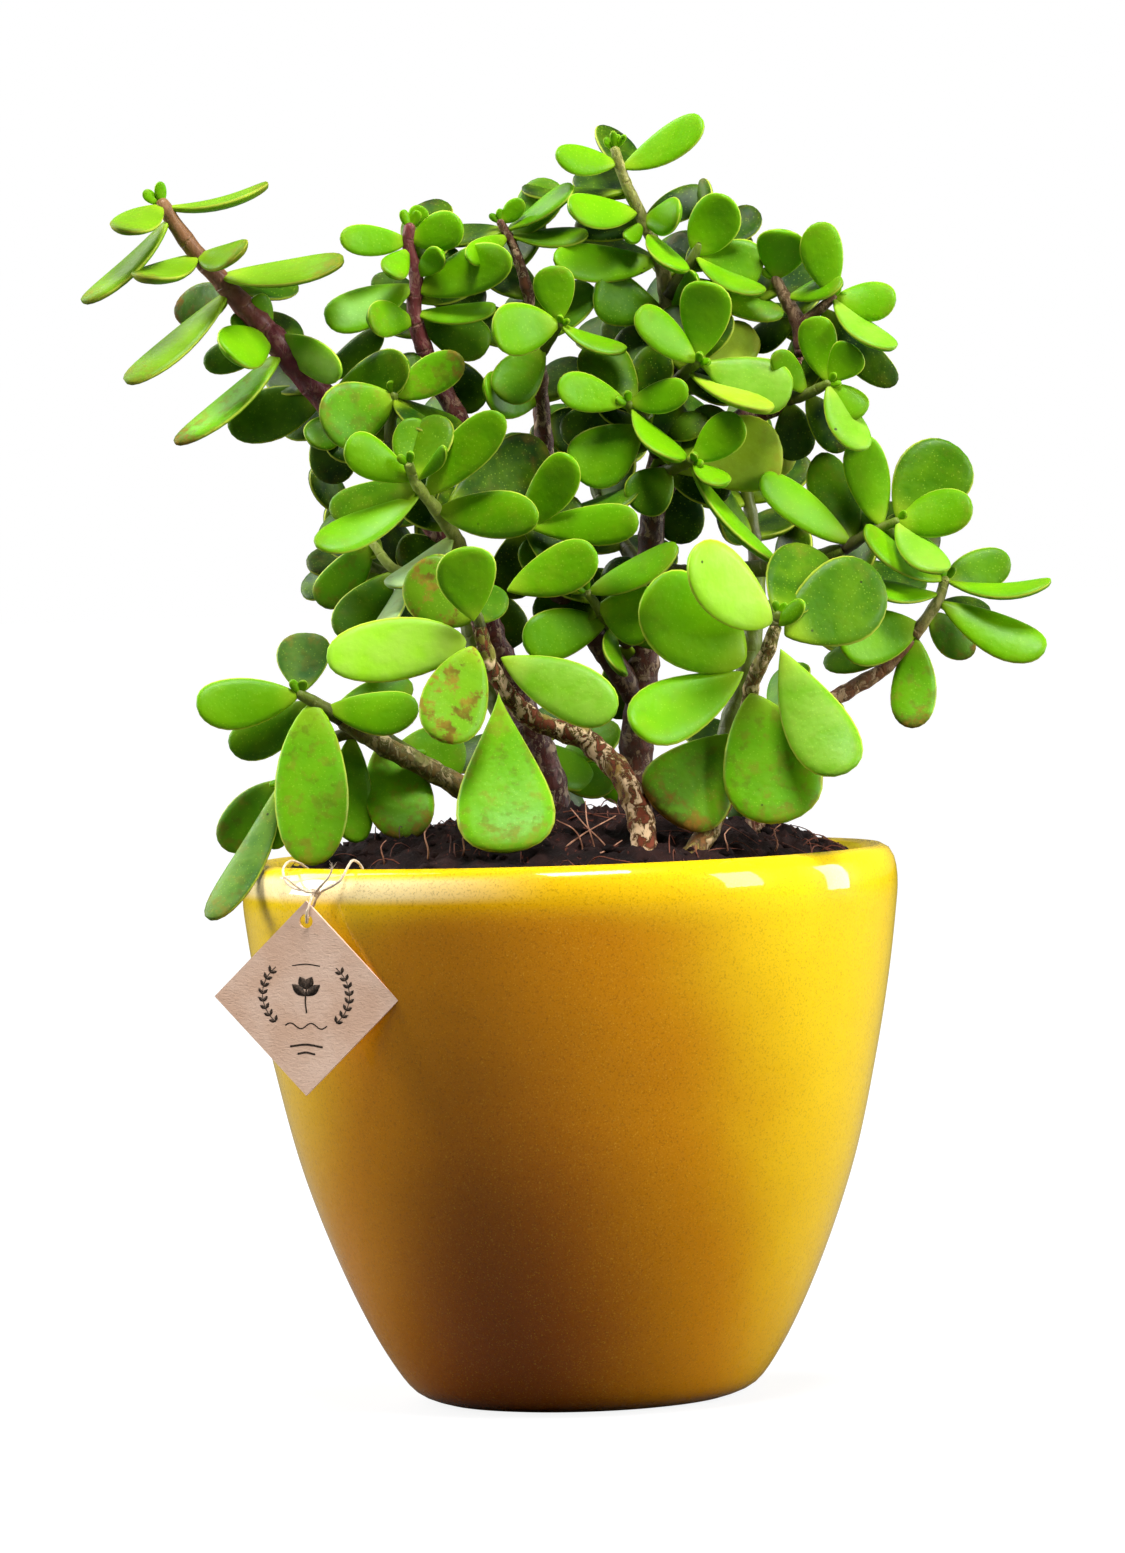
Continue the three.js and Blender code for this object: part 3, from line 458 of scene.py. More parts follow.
rootPaths = [
    [[-4, -38, 99.5], [0, -40, 103], [3, -40, 105], [8.5, -39, 107.8]],
    [[8.8, -36, 99], [6, -39, 103.2], [3, -40, 106.4], [0.6, -39, 109.4]],
    [[5, -38, 98.8], [4.4, -40, 103], [3.4, -40.5, 107], [3.2, -39.5, 110.6]],
    [[-0.5, -39, 99.6], [2.6, -41, 100.8], [6, -41, 101.5], [9.5, -39, 103.4]],
    [[1.5, -38, 99], [2.4, -40, 102.4], [1.2, -40.5, 105.5], [-2, -39.5, 107.4]],
    [[-25.6, -36, 99.4], [-25, -38.5, 102.6], [-25.6, -38.5, 105.8], [-24.6, -37.5, 107.2]],
    [[-19.4, -36, 100.5], [-18.6, -38.5, 102.8], [-18.8, -38.5, 104.8], [-17.8, -38, 106]],
    [[-33.4, -34, 98.8], [-33, -36, 100.8], [-33.5, -36, 103.6], [-32.6, -35, 104.6]],
    [[27.6, -36, 99], [28.3, -38, 101.4], [27.8, -38, 103.8], [29, -37, 105]],
    [[36.6, -30, 99.6], [37.4, -32, 101.6], [36.8, -32, 104], [38, -31, 105]],
]


def shaderSoil():
    s = Shader("darkSoil", Specular_IOR_Level=0.15)
    damp, grain = s.noise(150, 4), s.noise(1500, 4, 0.7)
    base = s.mix(damp.between(0.35, 0.7), solid(16, 7, 6), solid(40, 21, 18))
    base = s.mix(grain.between(0.56, 0.8) * 0.6, base, solid(76, 44, 36))
    strands = s.noise(900, 2, at=s.stretched(1, 0.18, 1), warp=0.6)
    base = s.mix(strands.between(0.66, 0.72) * 0.6, base, solid(100, 50, 36))
    return s.feed(Base_Color=base, Roughness=grain * 0.1 + 0.86, Normal=s.bump(grain, 0.0006, 0.9))


def shaderRoot(name, pale, dark):
    s = Shader(name, Specular_IOR_Level=0.3)
    tone = s.noise(420, 3)
    return s.feed(Base_Color=s.mix(tone.between(0.35, 0.65), solid(*dark), solid(*pale)),
                  Roughness=tone * 0.2 + 0.6, Normal=s.bump(s.noise(4000), 0.0001, 0.5))


# Tag: plain kraft card with a printed pair of leafy sprigs and a seedling between them

tagSet = {"thick": 0.7, "turn": 18, "tilt": 2, "middle": [-47.4, -43.3, 77.4], "proud": 0.02}


def onTag(flat, p):
    # a drawing in the tag's own plane, turned and moved on to its front
    tilt, turn = -math.radians(p["tilt"]), -math.radians(p["turn"])
    x = flat[:, 0] * math.cos(tilt) - flat[:, 1] * math.sin(tilt)
    z = flat[:, 0] * math.sin(tilt) + flat[:, 1] * math.cos(tilt)
    y = np.full(len(flat), -p["thick"] / 2) + flat[:, 2]
    across, deep = x * math.cos(turn) - y * math.sin(turn), x * math.sin(turn) + y * math.cos(turn)
    return np.stack([across, deep, z], 1) + p["middle"]


def flatLeaf(x, y, way, length, width):
    # a printed leaf: two arcs from base to tip, as a thin closed body
    t = np.linspace(0.12, 0.88, 7)
    half = width / 2 * np.sin(np.pi * t)
    angle = np.array([0, 0.5, 1, 1.5]) * np.pi
    rings = np.stack([t[:, None] * length + 0 * angle, half[:, None] * np.cos(angle),
        0.03 * np.sin(angle) + 0 * half[:, None]], -1)
    turn = np.array([[math.cos(way), math.sin(way), 0], [-math.sin(way), math.cos(way), 0], [0, 0, 1]])
    return rings @ turn + [x, y, 0], np.array([[0, 0, 0], [length, 0, 0]]) @ turn + [x, y, 0]


def inkLine(flat, width):
    # a printed stroke along a line in the tag's plane
    path = [[x, y, 0] for x, y in flat]
    rings, ends, _ = tube(path, [width / 2, width / 2], 0.3, 8)
    return rings * [1, 1, 0.2], np.array(ends) * [1, 1, 0.2]


def makeTag(p):
    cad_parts["tag"].data.materials.clear()
    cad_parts["tag"].data.materials.append(shaderKraft())
    prints = []
    for flip in (-1, 1):
        turns = np.radians(np.linspace(-46, 46, 9))
        arc = [[flip * 8.2 * math.cos(a), 0.6 + 6.8 * math.sin(a)] for a in turns]
        prints.append(inkLine(arc, 0.16))
        for x, y in arc[:-1]:
            for out in (-0.75, 0.7):
                prints.append(flatLeaf(x, y, math.atan2(3, -flip * y * 0.5) + out, 1.35, 0.62))
    # a seedling, a scroll and two short rules under it, and a rule over it
    prints.append(inkLine([[0.1, -2.6], [-0.1, -0.4], [0.1, 1.8]], 0.3))
    prints += [flatLeaf(0, y, math.radians(way), reach, 1.7) for y, way, reach in (
        (0.4, 38, 3.4), (0.4, 142, 3.4), (1.6, 62, 2.6), (1.6, 118, 2.6))]
    turn = np.linspace(0, 4 * np.pi, 40)
    scroll = np.stack([(turn - 2 * np.pi) * 0.62, -4.9 + 0.5 * np.sin(turn)], 1)
    prints.append(inkLine(scroll.tolist(), 0.24))
    prints.append(inkLine([[-2.6, 5.8], [0, 6.1], [2.6, 5.8]], 0.2))
    prints.append(inkLine([[-3, -8.6], [0, -8.2], [3, -8.6]], 0.36))
    prints.append(inkLine([[-1.6, -9.9], [0, -9.6], [1.6, -9.9]], 0.36))
    points, faces = gather(prints)
    ink = Shader("tagPrint", Specular_IOR_Level=0.2)
    tone = ink.noise(3000, 3)
    black = ink.mix(tone.between(0.4, 0.7), solid(44, 36, 30), solid(84, 68, 56))
    ink.feed(Base_Color=black, Roughness=tone * 0.1 + 0.8)
    points = onTag(np.column_stack([points[:, :2], points[:, 2] - p["proud"]]), p)
    piece("tag_print", points, faces, ink.material, "paper")


def shaderKraft():
    s = Shader("kraftCard", Specular_IOR_Level=0.25)
    cloud, fibre = s.noise(120, 4), s.noise(2400, 3, 0.6, at=s.stretched(0.3, 1, 1), warp=0.8)
    base = s.mix(cloud.between(0.3, 0.7), solid(222, 184, 158), solid(236, 204, 182))
    base = s.mix(fibre.between(0.55, 0.75) * 0.4, base, solid(170, 128, 100))
    flecks = s.cells(900)
    flecked = (1 - flecks.between(0.05, 0.16)) * s.noise(700).between(0.5, 0.6) * 0.5
    base = s.mix(flecked, base, solid(120, 82, 62))
    return s.feed(Base_Color=base, Roughness=cloud * 0.06 + 0.86, Normal=s.bump(fibre, 0.00012, 0.6))


# The plant's plan, in millimetres

# Woody stems: centre-line points, then the radius at the root end and at the far end.
stems = {
  "trunk": {
    "radii": [3.6, 1.9],
    "path": [[12, 6, 84], [12, 6, 100], [13, 5, 118], [15, 4, 135], [16.5, 3, 150], [17.5, 2, 162],
      [19.5, 2, 174], [21, 2, 185]],
  },
  "front_left_stem": {
    "radii": [2.9, 1.3],
    "path": [[13, -40, 84], [13, -40, 95], [13.4, -39.5, 101.5], [12.9, -37.5, 107],
      [10.5, -35, 113.8], [7, -32.5, 118.2], [3.5, -30.5, 121.4], [-1, -29.8, 123.1],
      [-6, -30.8, 125.7], [-10, -33, 129.9], [-12.8, -35, 135.2], [-14.5, -36, 141.5]],
  },
  "front_right_stem": {
    "radii": [2.4, 1.2],
    "path": [[19.5, -38, 84], [20, -38, 95], [22, -36.5, 100], [25, -34, 104.5],
      [28, -31.5, 109.8], [30.5, -30, 115.2], [32.3, -30, 121.7], [33.3, -31.3, 128],
      [34.3, -33.2, 132], [36.5, -35, 136], [38, -36, 140]],
  },
  "right_stem": {
    "radii": [2.3, 1.2],
    "path": [[33, -4, 84], [33, -5, 100], [38, -6, 113], [46, -8, 124.7], [52, -8, 128.2],
      [58, -8, 131.6], [63, -8, 136.5]],
  },
  "left_low_stem": {
    "radii": [2.6, 1.7],
    "path": [[-6, -8, 84], [-7, -8, 101], [-14, -8, 109], [-25, -10, 116.5], [-33, -12, 121],
      [-39.5, -13.6, 125.5]],
  },
  "left_stem": {
    "radii": [3.2, 2.4],
    "path": [[-1, 12, 84], [-1, 12, 100], [-4, 10, 116], [-10, 8, 132], [-16, 5, 148], [-22, 4, 160],
      [-29, 3, 171], [-35.5, 2, 178.5]],
  },
  "middle_stem": {
    "radii": [2.3, 1.7],
    "path": [[14, 4, 127], [7, 0, 138], [0, -2, 147], [-8, 0, 160], [-15, 1, 175], [-20, 1, 185],
      [-22.6, 1, 190]],
  },
  "right_high_stem": {
    "radii": [2.2, 1.8],
    "path": [[18, 2, 165], [25, 1, 172], [34, -1, 178], [42, -3, 181.5], [46, -3, 188.3]],
  },
  "right_middle_stem": {
    "radii": [1.9, 1.3],
    "path": [[16.5, 3, 152], [23, 2, 150], [32, -1, 150.5], [42, -4, 151.5], [51, -6, 153.5]],
  },
  "back_left_stem": {
    "radii": [2.8, 1.7],
    "path": [[-4, 28, 84], [-4, 28, 101], [-9, 31, 118], [-15, 34, 134], [-19, 36, 149]],
  },
  "back_right_stem": {
    "radii": [2.8, 1.7],
    "path": [[26, 24, 84], [26, 24, 101], [30, 28, 118], [35, 31, 134], [37, 33, 149]],
  },
}

# Leafy shoots: a stem path and radii as above, then each leaf as
# [place along the path, tip x, tip y, tip z, width, lift], and for some a side twig of the same kind.
shoots = {
  "crown_shoot": {
    "far": 5,
    "radii": [1.8, 0.9],
    "path": [[21.2, 2, 186], [21.5, 2, 198], [20.3, 1, 207.5], [17.5, 0, 215], [15, -1, 220.5],
      [13.6, -1.5, 224.5], [12.7, -1.5, 228]],
    "leaves": [
      [5, 28.8, -5, 232.7, 8, 35], [5.3, 1.8, -6, 227.3, 6.5, 30], [4, -4.5, 5, 222, 8, 70],
      [3.3, 4, -12, 217, 8, 35], [3, 24, -9, 216.2, 7, 20], [3, 29, 7, 220.8, 7, 25],
      [3, 14.3, -4, 211.3, 3.5, 0], [2, 0.8, -6, 208.3, 8.5, 30], [2, 5, 10, 213, 7, 40],
      [2.7, 24, -10, 205.2, 7, 55], [1, 26.5, -8, 204.6, 5.5, 30], [1, 8, -4, 202.5, 10, 10],
      [1, 9, 11, 195, 9, 20],
    ],
  },
  "crown_right_shoot": {
    "far": 3,
    "radii": [1.4, 0.9],
    "path": [[21.5, 1, 201], [24, 0, 204.5], [26.5, -2, 208.3], [28, -2, 211]],
    "leaves": [
      [2, 33, -6, 218.6, 9.5, 10], [2.6, 38.4, 6, 216.6, 7, 20], [2, 38.9, -3, 205.3, 10, 12],
      [2, 38.5, -11, 200.8, 7, 60], [1, 42.2, -5, 196.6, 7, 40], [3, 28.4, 5, 222.4, 5, 60],
    ],
  },
  "left_high_shoot": {
    "radii": [2.2, 1.3],
    "path": [[-52, -1, 197.2], [-57, -2, 203], [-60.5, -3, 207.3], [-64, -4, 211.3], [-68.3, -5, 217.6],
      [-70, -5.5, 220.6]],
    "leaves": [
      [5, -77.6, -14, 215.8, 9, 45], [4.8, -50.8, -2, 224, 9, 80], [4.2, -85, -9, 203.2, 9, 65],
      [3, -74.7, -13, 207.3, 9.5, 60], [3, -55.3, -15, 211.5, 8, 50], [2, -37.3, -9, 209.2, 10, 62],
      [1.6, -46.6, 8, 205.8, 8, 50], [1.3, -69, 6, 201.2, 8, 20], [1.4, -77.3, -12, 188.3, 8, 50],
    ],
  },
  "left_high_base": {
    "far": 3,
    "radii": [2.7, 2.4],
    "path": [[-36, 2, 179], [-42, 1, 184.8], [-47, 0, 191], [-51.4, -1, 196.4]],
    "leaves": [
      [3, -58.8, -13, 192.8, 10, 15], [2.8, -64, 6, 191.8, 6.5, 20], [2.5, -69, -9, 177, 9, 60],
      [1, -60, 7, 180, 10, 5], [2.9, -38.5, -9, 188.6, 7.5, -25], [0.5, -44.4, -3, 176, 7, 10],
      [0.9, -26.2, -10, 190.4, 9, 12], [1.4, -31, 2, 196.6, 6, 25], [0.6, -41.6, 7, 169, 9, 10],
    ],
  },
  "left_middle_shoot": {
    "far": 4,
    "radii": [1.4, 0.9],
    "path": [[-29.5, 1, 172], [-30, -4, 178.5], [-29, -7, 184.5]],
    "leaves": [
      [2, -41.9, -12, 178.6, 12, 0], [2, -16.2, -10, 190.7, 7.5, 12], [1.9, -20.3, -14, 177, 7, 65],
      [2, -16.8, -3, 178.6, 7, 65], [2, -34, 5, 193.5, 8, 30],
    ],
  },
  "left_whorl_shoot": {
    "far": 4,
    "radii": [1.7, 0.9],
    "path": [[-17, 4, 150], [-18.5, -5, 157.5], [-22, -12, 163.5], [-25.5, -18, 168.5], [-26.5, -20, 171.5]],
    "leaves": [
      [2.5, -9.2, -20, 180, 8.5, 12], [3, -19.8, -27, 174.4, 3.2, 30], [2.6, -43.6, -24, 157.5, 8.5, 35],
      [2.8, -41.4, -11, 164.2, 8.5, 20], [3, -37.5, -24, 176, 7.8, 10], [3, -25.6, -13, 180.2, 7.5, 5],
      [2, -3.5, -22, 161.2, 9, 12], [2, -16.6, -5, 165.2, 7, 10], [1.2, -31.2, -15, 150, 7, 50],
      [1.8, -1.8, 0, 174.6, 11.5, 0], [0, -7.5, 7, 138.5, 9, 10],
    ],
    "twig": {
      "radii": [1.3, 0.8],
      "path": [[-17.8, -1, 153.5], [-24, -2, 151.5], [-30, -3, 152.8], [-34, -2, 157.8]],
      "leaves": [
        [2, -40.4, -8, 140.8, 9, 10], [1.7, -34.6, -18, 140.4, 7, 60], [3, -44.3, 2, 147, 7.8, 5],
        [2.6, -42, 9, 160, 8, 30], [1, -30, 8, 139, 9, 20],
      ],
    },
  },
  "purple_shoot": {
    "far": 4,
    "radii": [1.6, 1.1],
    "path": [[-23, 1, 191.5], [-25, 0, 199.5], [-24.4, -1, 206], [-25.5, -1.5, 211.5], [-25.3, -2, 215]],
    "leaves": [
      [3.3, -37.9, -6, 213.4, 6, 10], [3.3, -15.5, -6, 215, 7.5, 5], [4, -22.6, -2, 218.8, 4, 0],
      [3, -29, -8, 206.2, 5.5, 0], [3, -16.3, 3, 209.6, 5, 20], [2, -19.4, -7, 210.2, 4.8, 10],
      [1.8, -41, -4, 198.3, 9, 30], [1.6, -32.4, 5, 206.4, 6, 30], [1.6, -12, 9, 203.5, 9, 25],
      [1, -10, -4, 199.8, 6, 50], [1, -11.5, 3, 193.2, 9, 15], [0.8, -33.2, -9, 198.4, 7, 10],
      [1.6, -6.8, -12, 208.4, 9, 12], [0.1, -13, 6, 182.5, 8.5, 15],
    ],
  },
  "upper_middle_shoot": {
    "far": 6,
    "radii": [1.9, 0.8],
    "path": [[-1.5, 5, 164], [-2.2, 6, 178], [-2.6, 5, 190], [-3.6, 3, 200], [-5, 1, 206.5],
      [-6.6, 0, 211.5], [-8.6, -0.5, 215.5]],
    "leaves": [
      [6, -4.4, -2, 219.4, 3.8, 10], [5.6, 4.9, -3, 221.6, 7, 60], [5.4, 7.3, -2, 212.8, 7, 55],
      [5.6, -20.7, 6, 213.8, 8, 60], [5.4, -14.9, -10, 208.8, 5, 0], [3, -8.6, 14, 197, 9, 20],
      [1.4, -12.6, -4, 185.5, 9, 20], [1, 8, 12, 176.5, 10, 20],
    ],
  },
  "upper_middle_twig": {
    "far": 2,
    "radii": [1.1, 0.7],
    "path": [[-2.5, 1.5, 191], [-0.5, -3, 193.5], [1.6, -7, 196.4]],
    "leaves": [
      [2, 0.3, -9, 207, 7.8, 0], [2, -10.6, -15, 194.8, 10, 0], [2, 13.4, -10, 191.2, 6, 60],
      [0.6, -9.6, -5, 183.3, 9, 5],
    ],
  },
  "center_twig": {
    "far": 3,
    "radii": [1.2, 0.8],
    "path": [[-7.5, -2, 159], [-6.8, -8, 160], [-6.2, -13, 160]],
    "leaves": [
      [2, 14.5, -20, 159.9, 7.8, 15], [1.9, 2.8, -19, 172.2, 8.3, 10], [1.2, 14.9, -8, 165.8, 7.5, 60],
      [0.7, -9.5, 6, 147, 9, 10],
    ],
  },
  "center_low_twig": {
    "far": 5,
    "radii": [1.3, 0.8],
    "path": [[12, 1, 138], [8.5, -6, 142], [5, -10, 147.5]],
    "leaves": [
      [2, 21.6, -14, 155.3, 8, 45], [1.6, 17.5, -11, 142.6, 11.5, 5], [1, -7, -11, 138.5, 9.5, 10],
      [2, -6.5, -6, 157, 8, 20], [0.8, 10.8, -13, 132.6, 6, 60],
      [0.1, 27, -14, 141.5, 7, 20], [0, 9.5, 10, 124, 9, 10],
    ],
  },
  "center_shoot": {
    "far": 4,
    "radii": [1.4, 0.9],
    "path": [[18.6, -0.5, 172.5], [16.5, -5, 177.5], [13.6, -9, 181.5]],
    "leaves": [
      [2, 0.8, -13, 185.3, 7.3, 12], [2, 24.4, -13, 183.7, 6.3, 15], [1.9, 22.6, -16, 170.8, 8, 55],
      [1, 3, -9, 169.4, 11.5, 5], [1, 1, 3, 178, 9, 10], [1, 28, -9, 177.6, 7, 35],
      [1.8, 7, -3, 193, 10, 10], [1.8, 15, 6, 196, 9, 10], [0, 24, 4, 156, 10, 10],
    ],
  },
  "center_right_shoot": {
    "far": 4,
    "radii": [1.5, 0.9],
    "path": [[17.9, -0.5, 168], [21, -6, 169.5], [24.6, -13, 170.7]],
    "leaves": [
      [2, 30.5, -18, 166.2, 6, 50], [2, 33.9, -16, 177.9, 8, 15], [1.6, 41.2, -9, 172.4, 14.5, 5],
      [0.8, 44, 5, 172, 10, 10], [1.9, 39.2, -19, 151.8, 8, 72], [1, 13.6, -9, 162.8, 9, 5],
    ],
  },
  "right_middle_shoot": {
    "far": 4,
    "radii": [1.5, 0.9],
    "path": [[21, -0.5, 183], [23.6, -5, 186.5], [26.4, -10, 188.6]],
    "leaves": [
      [2, 28.3, -14, 203.1, 9.8, 8], [1.8, 37.1, -3, 194, 9, 10], [2, 15.5, -15, 198, 7.6, 25],
      [2, 42.9, -12, 181.8, 10.5, 15], [1.3, 38.6, -20, 179.3, 9, 65],
    ],
  },
  "right_high_shoot": {
    "far": 4,
    "radii": [1.7, 1.0],
    "path": [[45.9, -3, 189.5], [44.8, -3, 196], [42.8, -3, 200], [41.3, -3, 203.3]],
    "leaves": [
      [3, 42.8, -7, 212.2, 9.5, 5], [1, 36.3, 3, 191.8, 6, 20], [2, 53.2, -8, 202.3, 6, 45],
      [3, 33, 6, 201.5, 7, 30], [0.4, 52, 6, 191, 8, 20],
    ],
    "twig": {
      "radii": [1.2, 0.8],
      "path": [[45, -3, 194.5], [48.6, -5.5, 197.4], [51.4, -6, 199.6]],
      "leaves": [
        [2, 49, -9, 213.3, 8, 5], [2, 62.7, -9, 198.8, 8, 20], [2, 61.6, -14, 189.8, 8, 55],
        [1.2, 62.4, -4, 183.5, 7, 15],
      ],
    },
  },
  "right_high_low": {
    "far": 2,
    "radii": [1.3, 0.8],
    "path": [[42.6, -5, 181.5], [46, -7, 182.3], [49.8, -9, 184]],
    "leaves": [
      [2, 47.4, -10, 196.2, 7.2, 5], [2, 55, -11, 190.5, 7, 10], [2, 56.2, -11, 178.2, 6.5, 10],
      [1, 40.2, -12, 189.8, 5.2, 15], [2, 55.7, -14, 171.6, 8, 35], [1, 53, -2, 172, 7, 20],
      [0, 44.5, 0, 170.5, 8, 10],
    ],
  },
  "right_outer_shoot": {
    "far": 3,
    "radii": [1.2, 0.8],
    "path": [[51.8, -6.2, 153.8], [57, -7.5, 156.8], [61.5, -9, 158.6]],
    "leaves": [
      [1.4, 55, -12, 174.2, 8.5, 15], [2, 75.2, -13, 160.8, 9.5, 25], [2, 73.5, -5, 171.6, 14, 0],
      [2, 69.4, -17, 149.2, 8.5, 40], [0.3, 48.6, 0, 171.6, 9, 5], [0.3, 37, -12, 167.4, 8, 30],
    ],
  },
  "right_tip_shoot": {
    "radii": [1.2, 0.9],
    "path": [[64, -8, 137.6], [67, -8, 141.5], [69, -8, 144.5], [70, -8, 147.6]],
    "leaves": [
      [3, 82.2, -3, 151.2, 8, 15], [3, 89, -13, 146.8, 8, 72], [1.6, 78.6, 3, 142, 5.5, 40],
      [1.8, 87.2, -15, 134, 9, 25], [1, 75.1, -3, 134, 7, 20], [0.5, 50.2, -14, 136.6, 11, 10],
      [2.2, 57, -12, 146.4, 7, 60], [3, 55.5, -13, 157.5, 8.5, 60], [0.1, 63, -12, 121, 8.5, 5],
      [0.6, 48, 5, 133, 7, 30],
    ],
  },
  "left_low_shoot": {
    "radii": [1.5, 1.0],
    "path": [[-40.2, -13.8, 126], [-43.5, -15.4, 128.3], [-47.5, -16.5, 130.8]],
    "leaves": [
      [2, -66.2, -21, 129.5, 9.6, 10], [2, -46.3, -11, 141.8, 10, 10], [1, -26.3, -21, 127.3, 8.5, 15],
      [1.5, -60.8, -12, 121.3, 8.5, 15], [1.5, -46, -25, 100.2, 13.6, 8],
      [0.5, -27.5, -9, 132, 7, 20],
    ],
  },
  "left_hanging_shoot": {
    "radii": [1.2, 0.8],
    "path": [[-35.5, -9, 123.5], [-41, -9.5, 123], [-47.5, -11, 119.8], [-51.6, -13, 115.4]],
    "leaves": [
      [3, -63, -9, 103.4, 9, 15], [3, -65, -24, 91, 8, 40], [2.7, -53.5, -16, 103, 6, 20],
      [1.8, -40, -4, 109, 9, 20], [0.6, -38.5, -12, 103.5, 8, 10],
    ],
    "twig": {
      "radii": [1.2, 0.8],
      "path": [[-37, -9, 123.5], [-33, -5, 122.5], [-28, -4, 119.5]],
      "leaves": [
        [1, -28.5, -14, 104, 12.5, 5], [1.5, -18.5, 1, 117, 11, 10], [1.8, -32, 8, 113, 7, 20],
      ],
    },
  },
  "front_left_tip": {
    "radii": [1.1, 0.8],
    "path": [[-14.4, -36, 142], [-14.9, -37.2, 144.5]],
    "leaves": [
      [0.3, -10.8, -33, 149, 6, 0],
    ],
  },
  "front_right_tip": {
    "radii": [1.1, 0.8],
    "path": [[38.1, -36, 140.4], [38.6, -36.5, 142.6]],
    "leaves": [
      [0.2, 43.2, -41, 144.6, 3.8, 30], [0.6, 46, -20, 154, 12.5, 0],
    ],
  },
}

# Large single leaves at the front: base point, tip point, width, lift.
frontLeaves = {
  "leaf_left_top": [[-15.6, -38.4, 143.2], [-16.8, -42, 156.5], 11, 5],
  "leaf_left_spotted": [[-16.4, -35, 142.8], [-25.6, -31, 153.8], 12.5, 5],
  "leaf_left_side": [[-17, -36.5, 139.6], [-42, -37, 137.4], 11.5, 10],
  "leaf_left_lower": [[-15.8, -39.5, 138.8], [-21.9, -46, 122.2], 12, 0],
  "leaf_left_inner": [[-11, -35.5, 136.6], [9, -44, 126], 10.8, 12],
  "leaf_left_hanging": [[-11.6, -36, 130.4], [-11, -47, 102.3], 17.6, 0],
  "leaf_left_far": [[-9.6, -26, 148.4], [6.8, -29, 154.6], 9.5, 12],
  "leaf_right_broad": [[32.4, -36, 134.2], [15.2, -43, 147.8], 16.5, 15],
  "leaf_right_top": [[37.4, -38.5, 141.2], [23.4, -50, 154.2], 13, 28],
  "leaf_right_back": [[39.8, -33.5, 138.8], [57.4, -25, 149], 15.5, 5],
  "leaf_right_long": [[38.8, -38.5, 136.6], [49.6, -47, 114.4], 12.3, 5],
  "leaf_right_side": [[32.2, -36.5, 132.6], [12, -47, 123.4], 12.3, 20],
  "leaf_right_hanging": [[33.4, -34.5, 128.8], [38.8, -41, 105.8], 17.8, 0],
  "leaf_right_red": [[29.2, -30.5, 121.6], [17.4, -38, 107.2], 16.8, 0],
}

# How the leaves on a shoot's far side stand, as many as its "far" says.
farLeaves = {"length": 15, "width": 9.5, "spread": 60, "turn": 137.5}

# Shoots at the back, which carry opposite pairs of leaves, each pair across the last.
backPairs = {"radii": [1.5, 0.9], "length": 16, "width": 10.5, "spread": 62, "droop": 0.12}
backShoots = {
  "back_left_top_shoot": {"pairs": 4, "turn": 20,
    "path": [[-19.3, 36.5, 150], [-23, 38, 163], [-25, 37, 177]]},
  "back_left_side_shoot": {"pairs": 3, "turn": 60,
    "path": [[-18.5, 37.5, 146], [-29, 41, 150], [-38, 43, 155]]},
  "back_left_low_shoot": {"pairs": 5, "turn": 10,
    "path": [[-10, 33, 120], [-9, 40, 118], [-4, 46, 116], [3, 49, 114]]},
  "back_right_top_shoot": {"pairs": 4, "turn": 35,
    "path": [[37.2, 33.5, 150], [36, 35, 163], [33, 35, 177]]},
  "back_right_side_shoot": {"pairs": 3, "turn": 70,
    "path": [[36.5, 33.5, 142], [47, 38, 147], [56, 41, 152]]},
  "back_right_low_shoot": {"pairs": 4, "turn": 0,
    "path": [[32, 30.5, 121], [38, 36, 123], [40, 42, 122], [34, 47, 118]]},
  "back_middle_shoot": {"pairs": 4, "turn": 15,
    "path": [[17, 5, 148], [11, 17, 158], [7, 27, 168], [6, 31, 179]]},
  "back_crown_shoot": {"pairs": 3, "turn": 50, "path": [[21, 4.5, 190], [19, 14, 196], [15, 22, 202]]},
  "left_back_shoot": {"pairs": 3, "turn": 40, "path": [[-17.5, 7.5, 150], [-29, 17, 156], [-38, 22, 163]]},
}

# leaves that differ from the common green: the shoot, then which leaf in its list
leafMarks = {
    "leaf_left_inner": {0: "cream"}, "leaf_right_long": {0: "cream"}, "leaf_left_spotted": {0: "mottled"},
    "leaf_left_lower": {0: "mottled"}, "leaf_right_red": {0: "red"}, "leaf_left_hanging": {0: "speckled"},
    "leaf_right_hanging": {0: "speckled"}, "leaf_left_side": {0: "bright"}, "leaf_right_top": {0: "bright"},
    "right_high_shoot_twig": {2: "cream"}, "right_high_low": {4: "cream"}, "right_outer_shoot": {3: "cream"},
    "left_high_base": {4: "cream", 2: "scorched"},
    "right_middle_shoot": {3: "cream", 4: "yellow", 1: "yellow"},
    "left_low_shoot": {1: "blue", 4: "speckled"}, "left_hanging_shoot": {1: "blue", 0: "speckled"},
    "left_whorl_shoot": {8: "grey"}, "left_whorl_shoot_twig": {1: "grey", 2: "speckled"},
    "left_hanging_shoot_twig": {0: "scorched"}, "left_middle_shoot": {1: "scorched", 0: "speckled"},
    "right_tip_shoot": {8: "scorched", 4: "scorched"}, "center_right_shoot": {2: "yellow", 3: "yellow"},
    "left_high_shoot": {**dict.fromkeys((0, 1, 2, 3, 4, 5, 8), "dull"), 7: "scorched"},
}
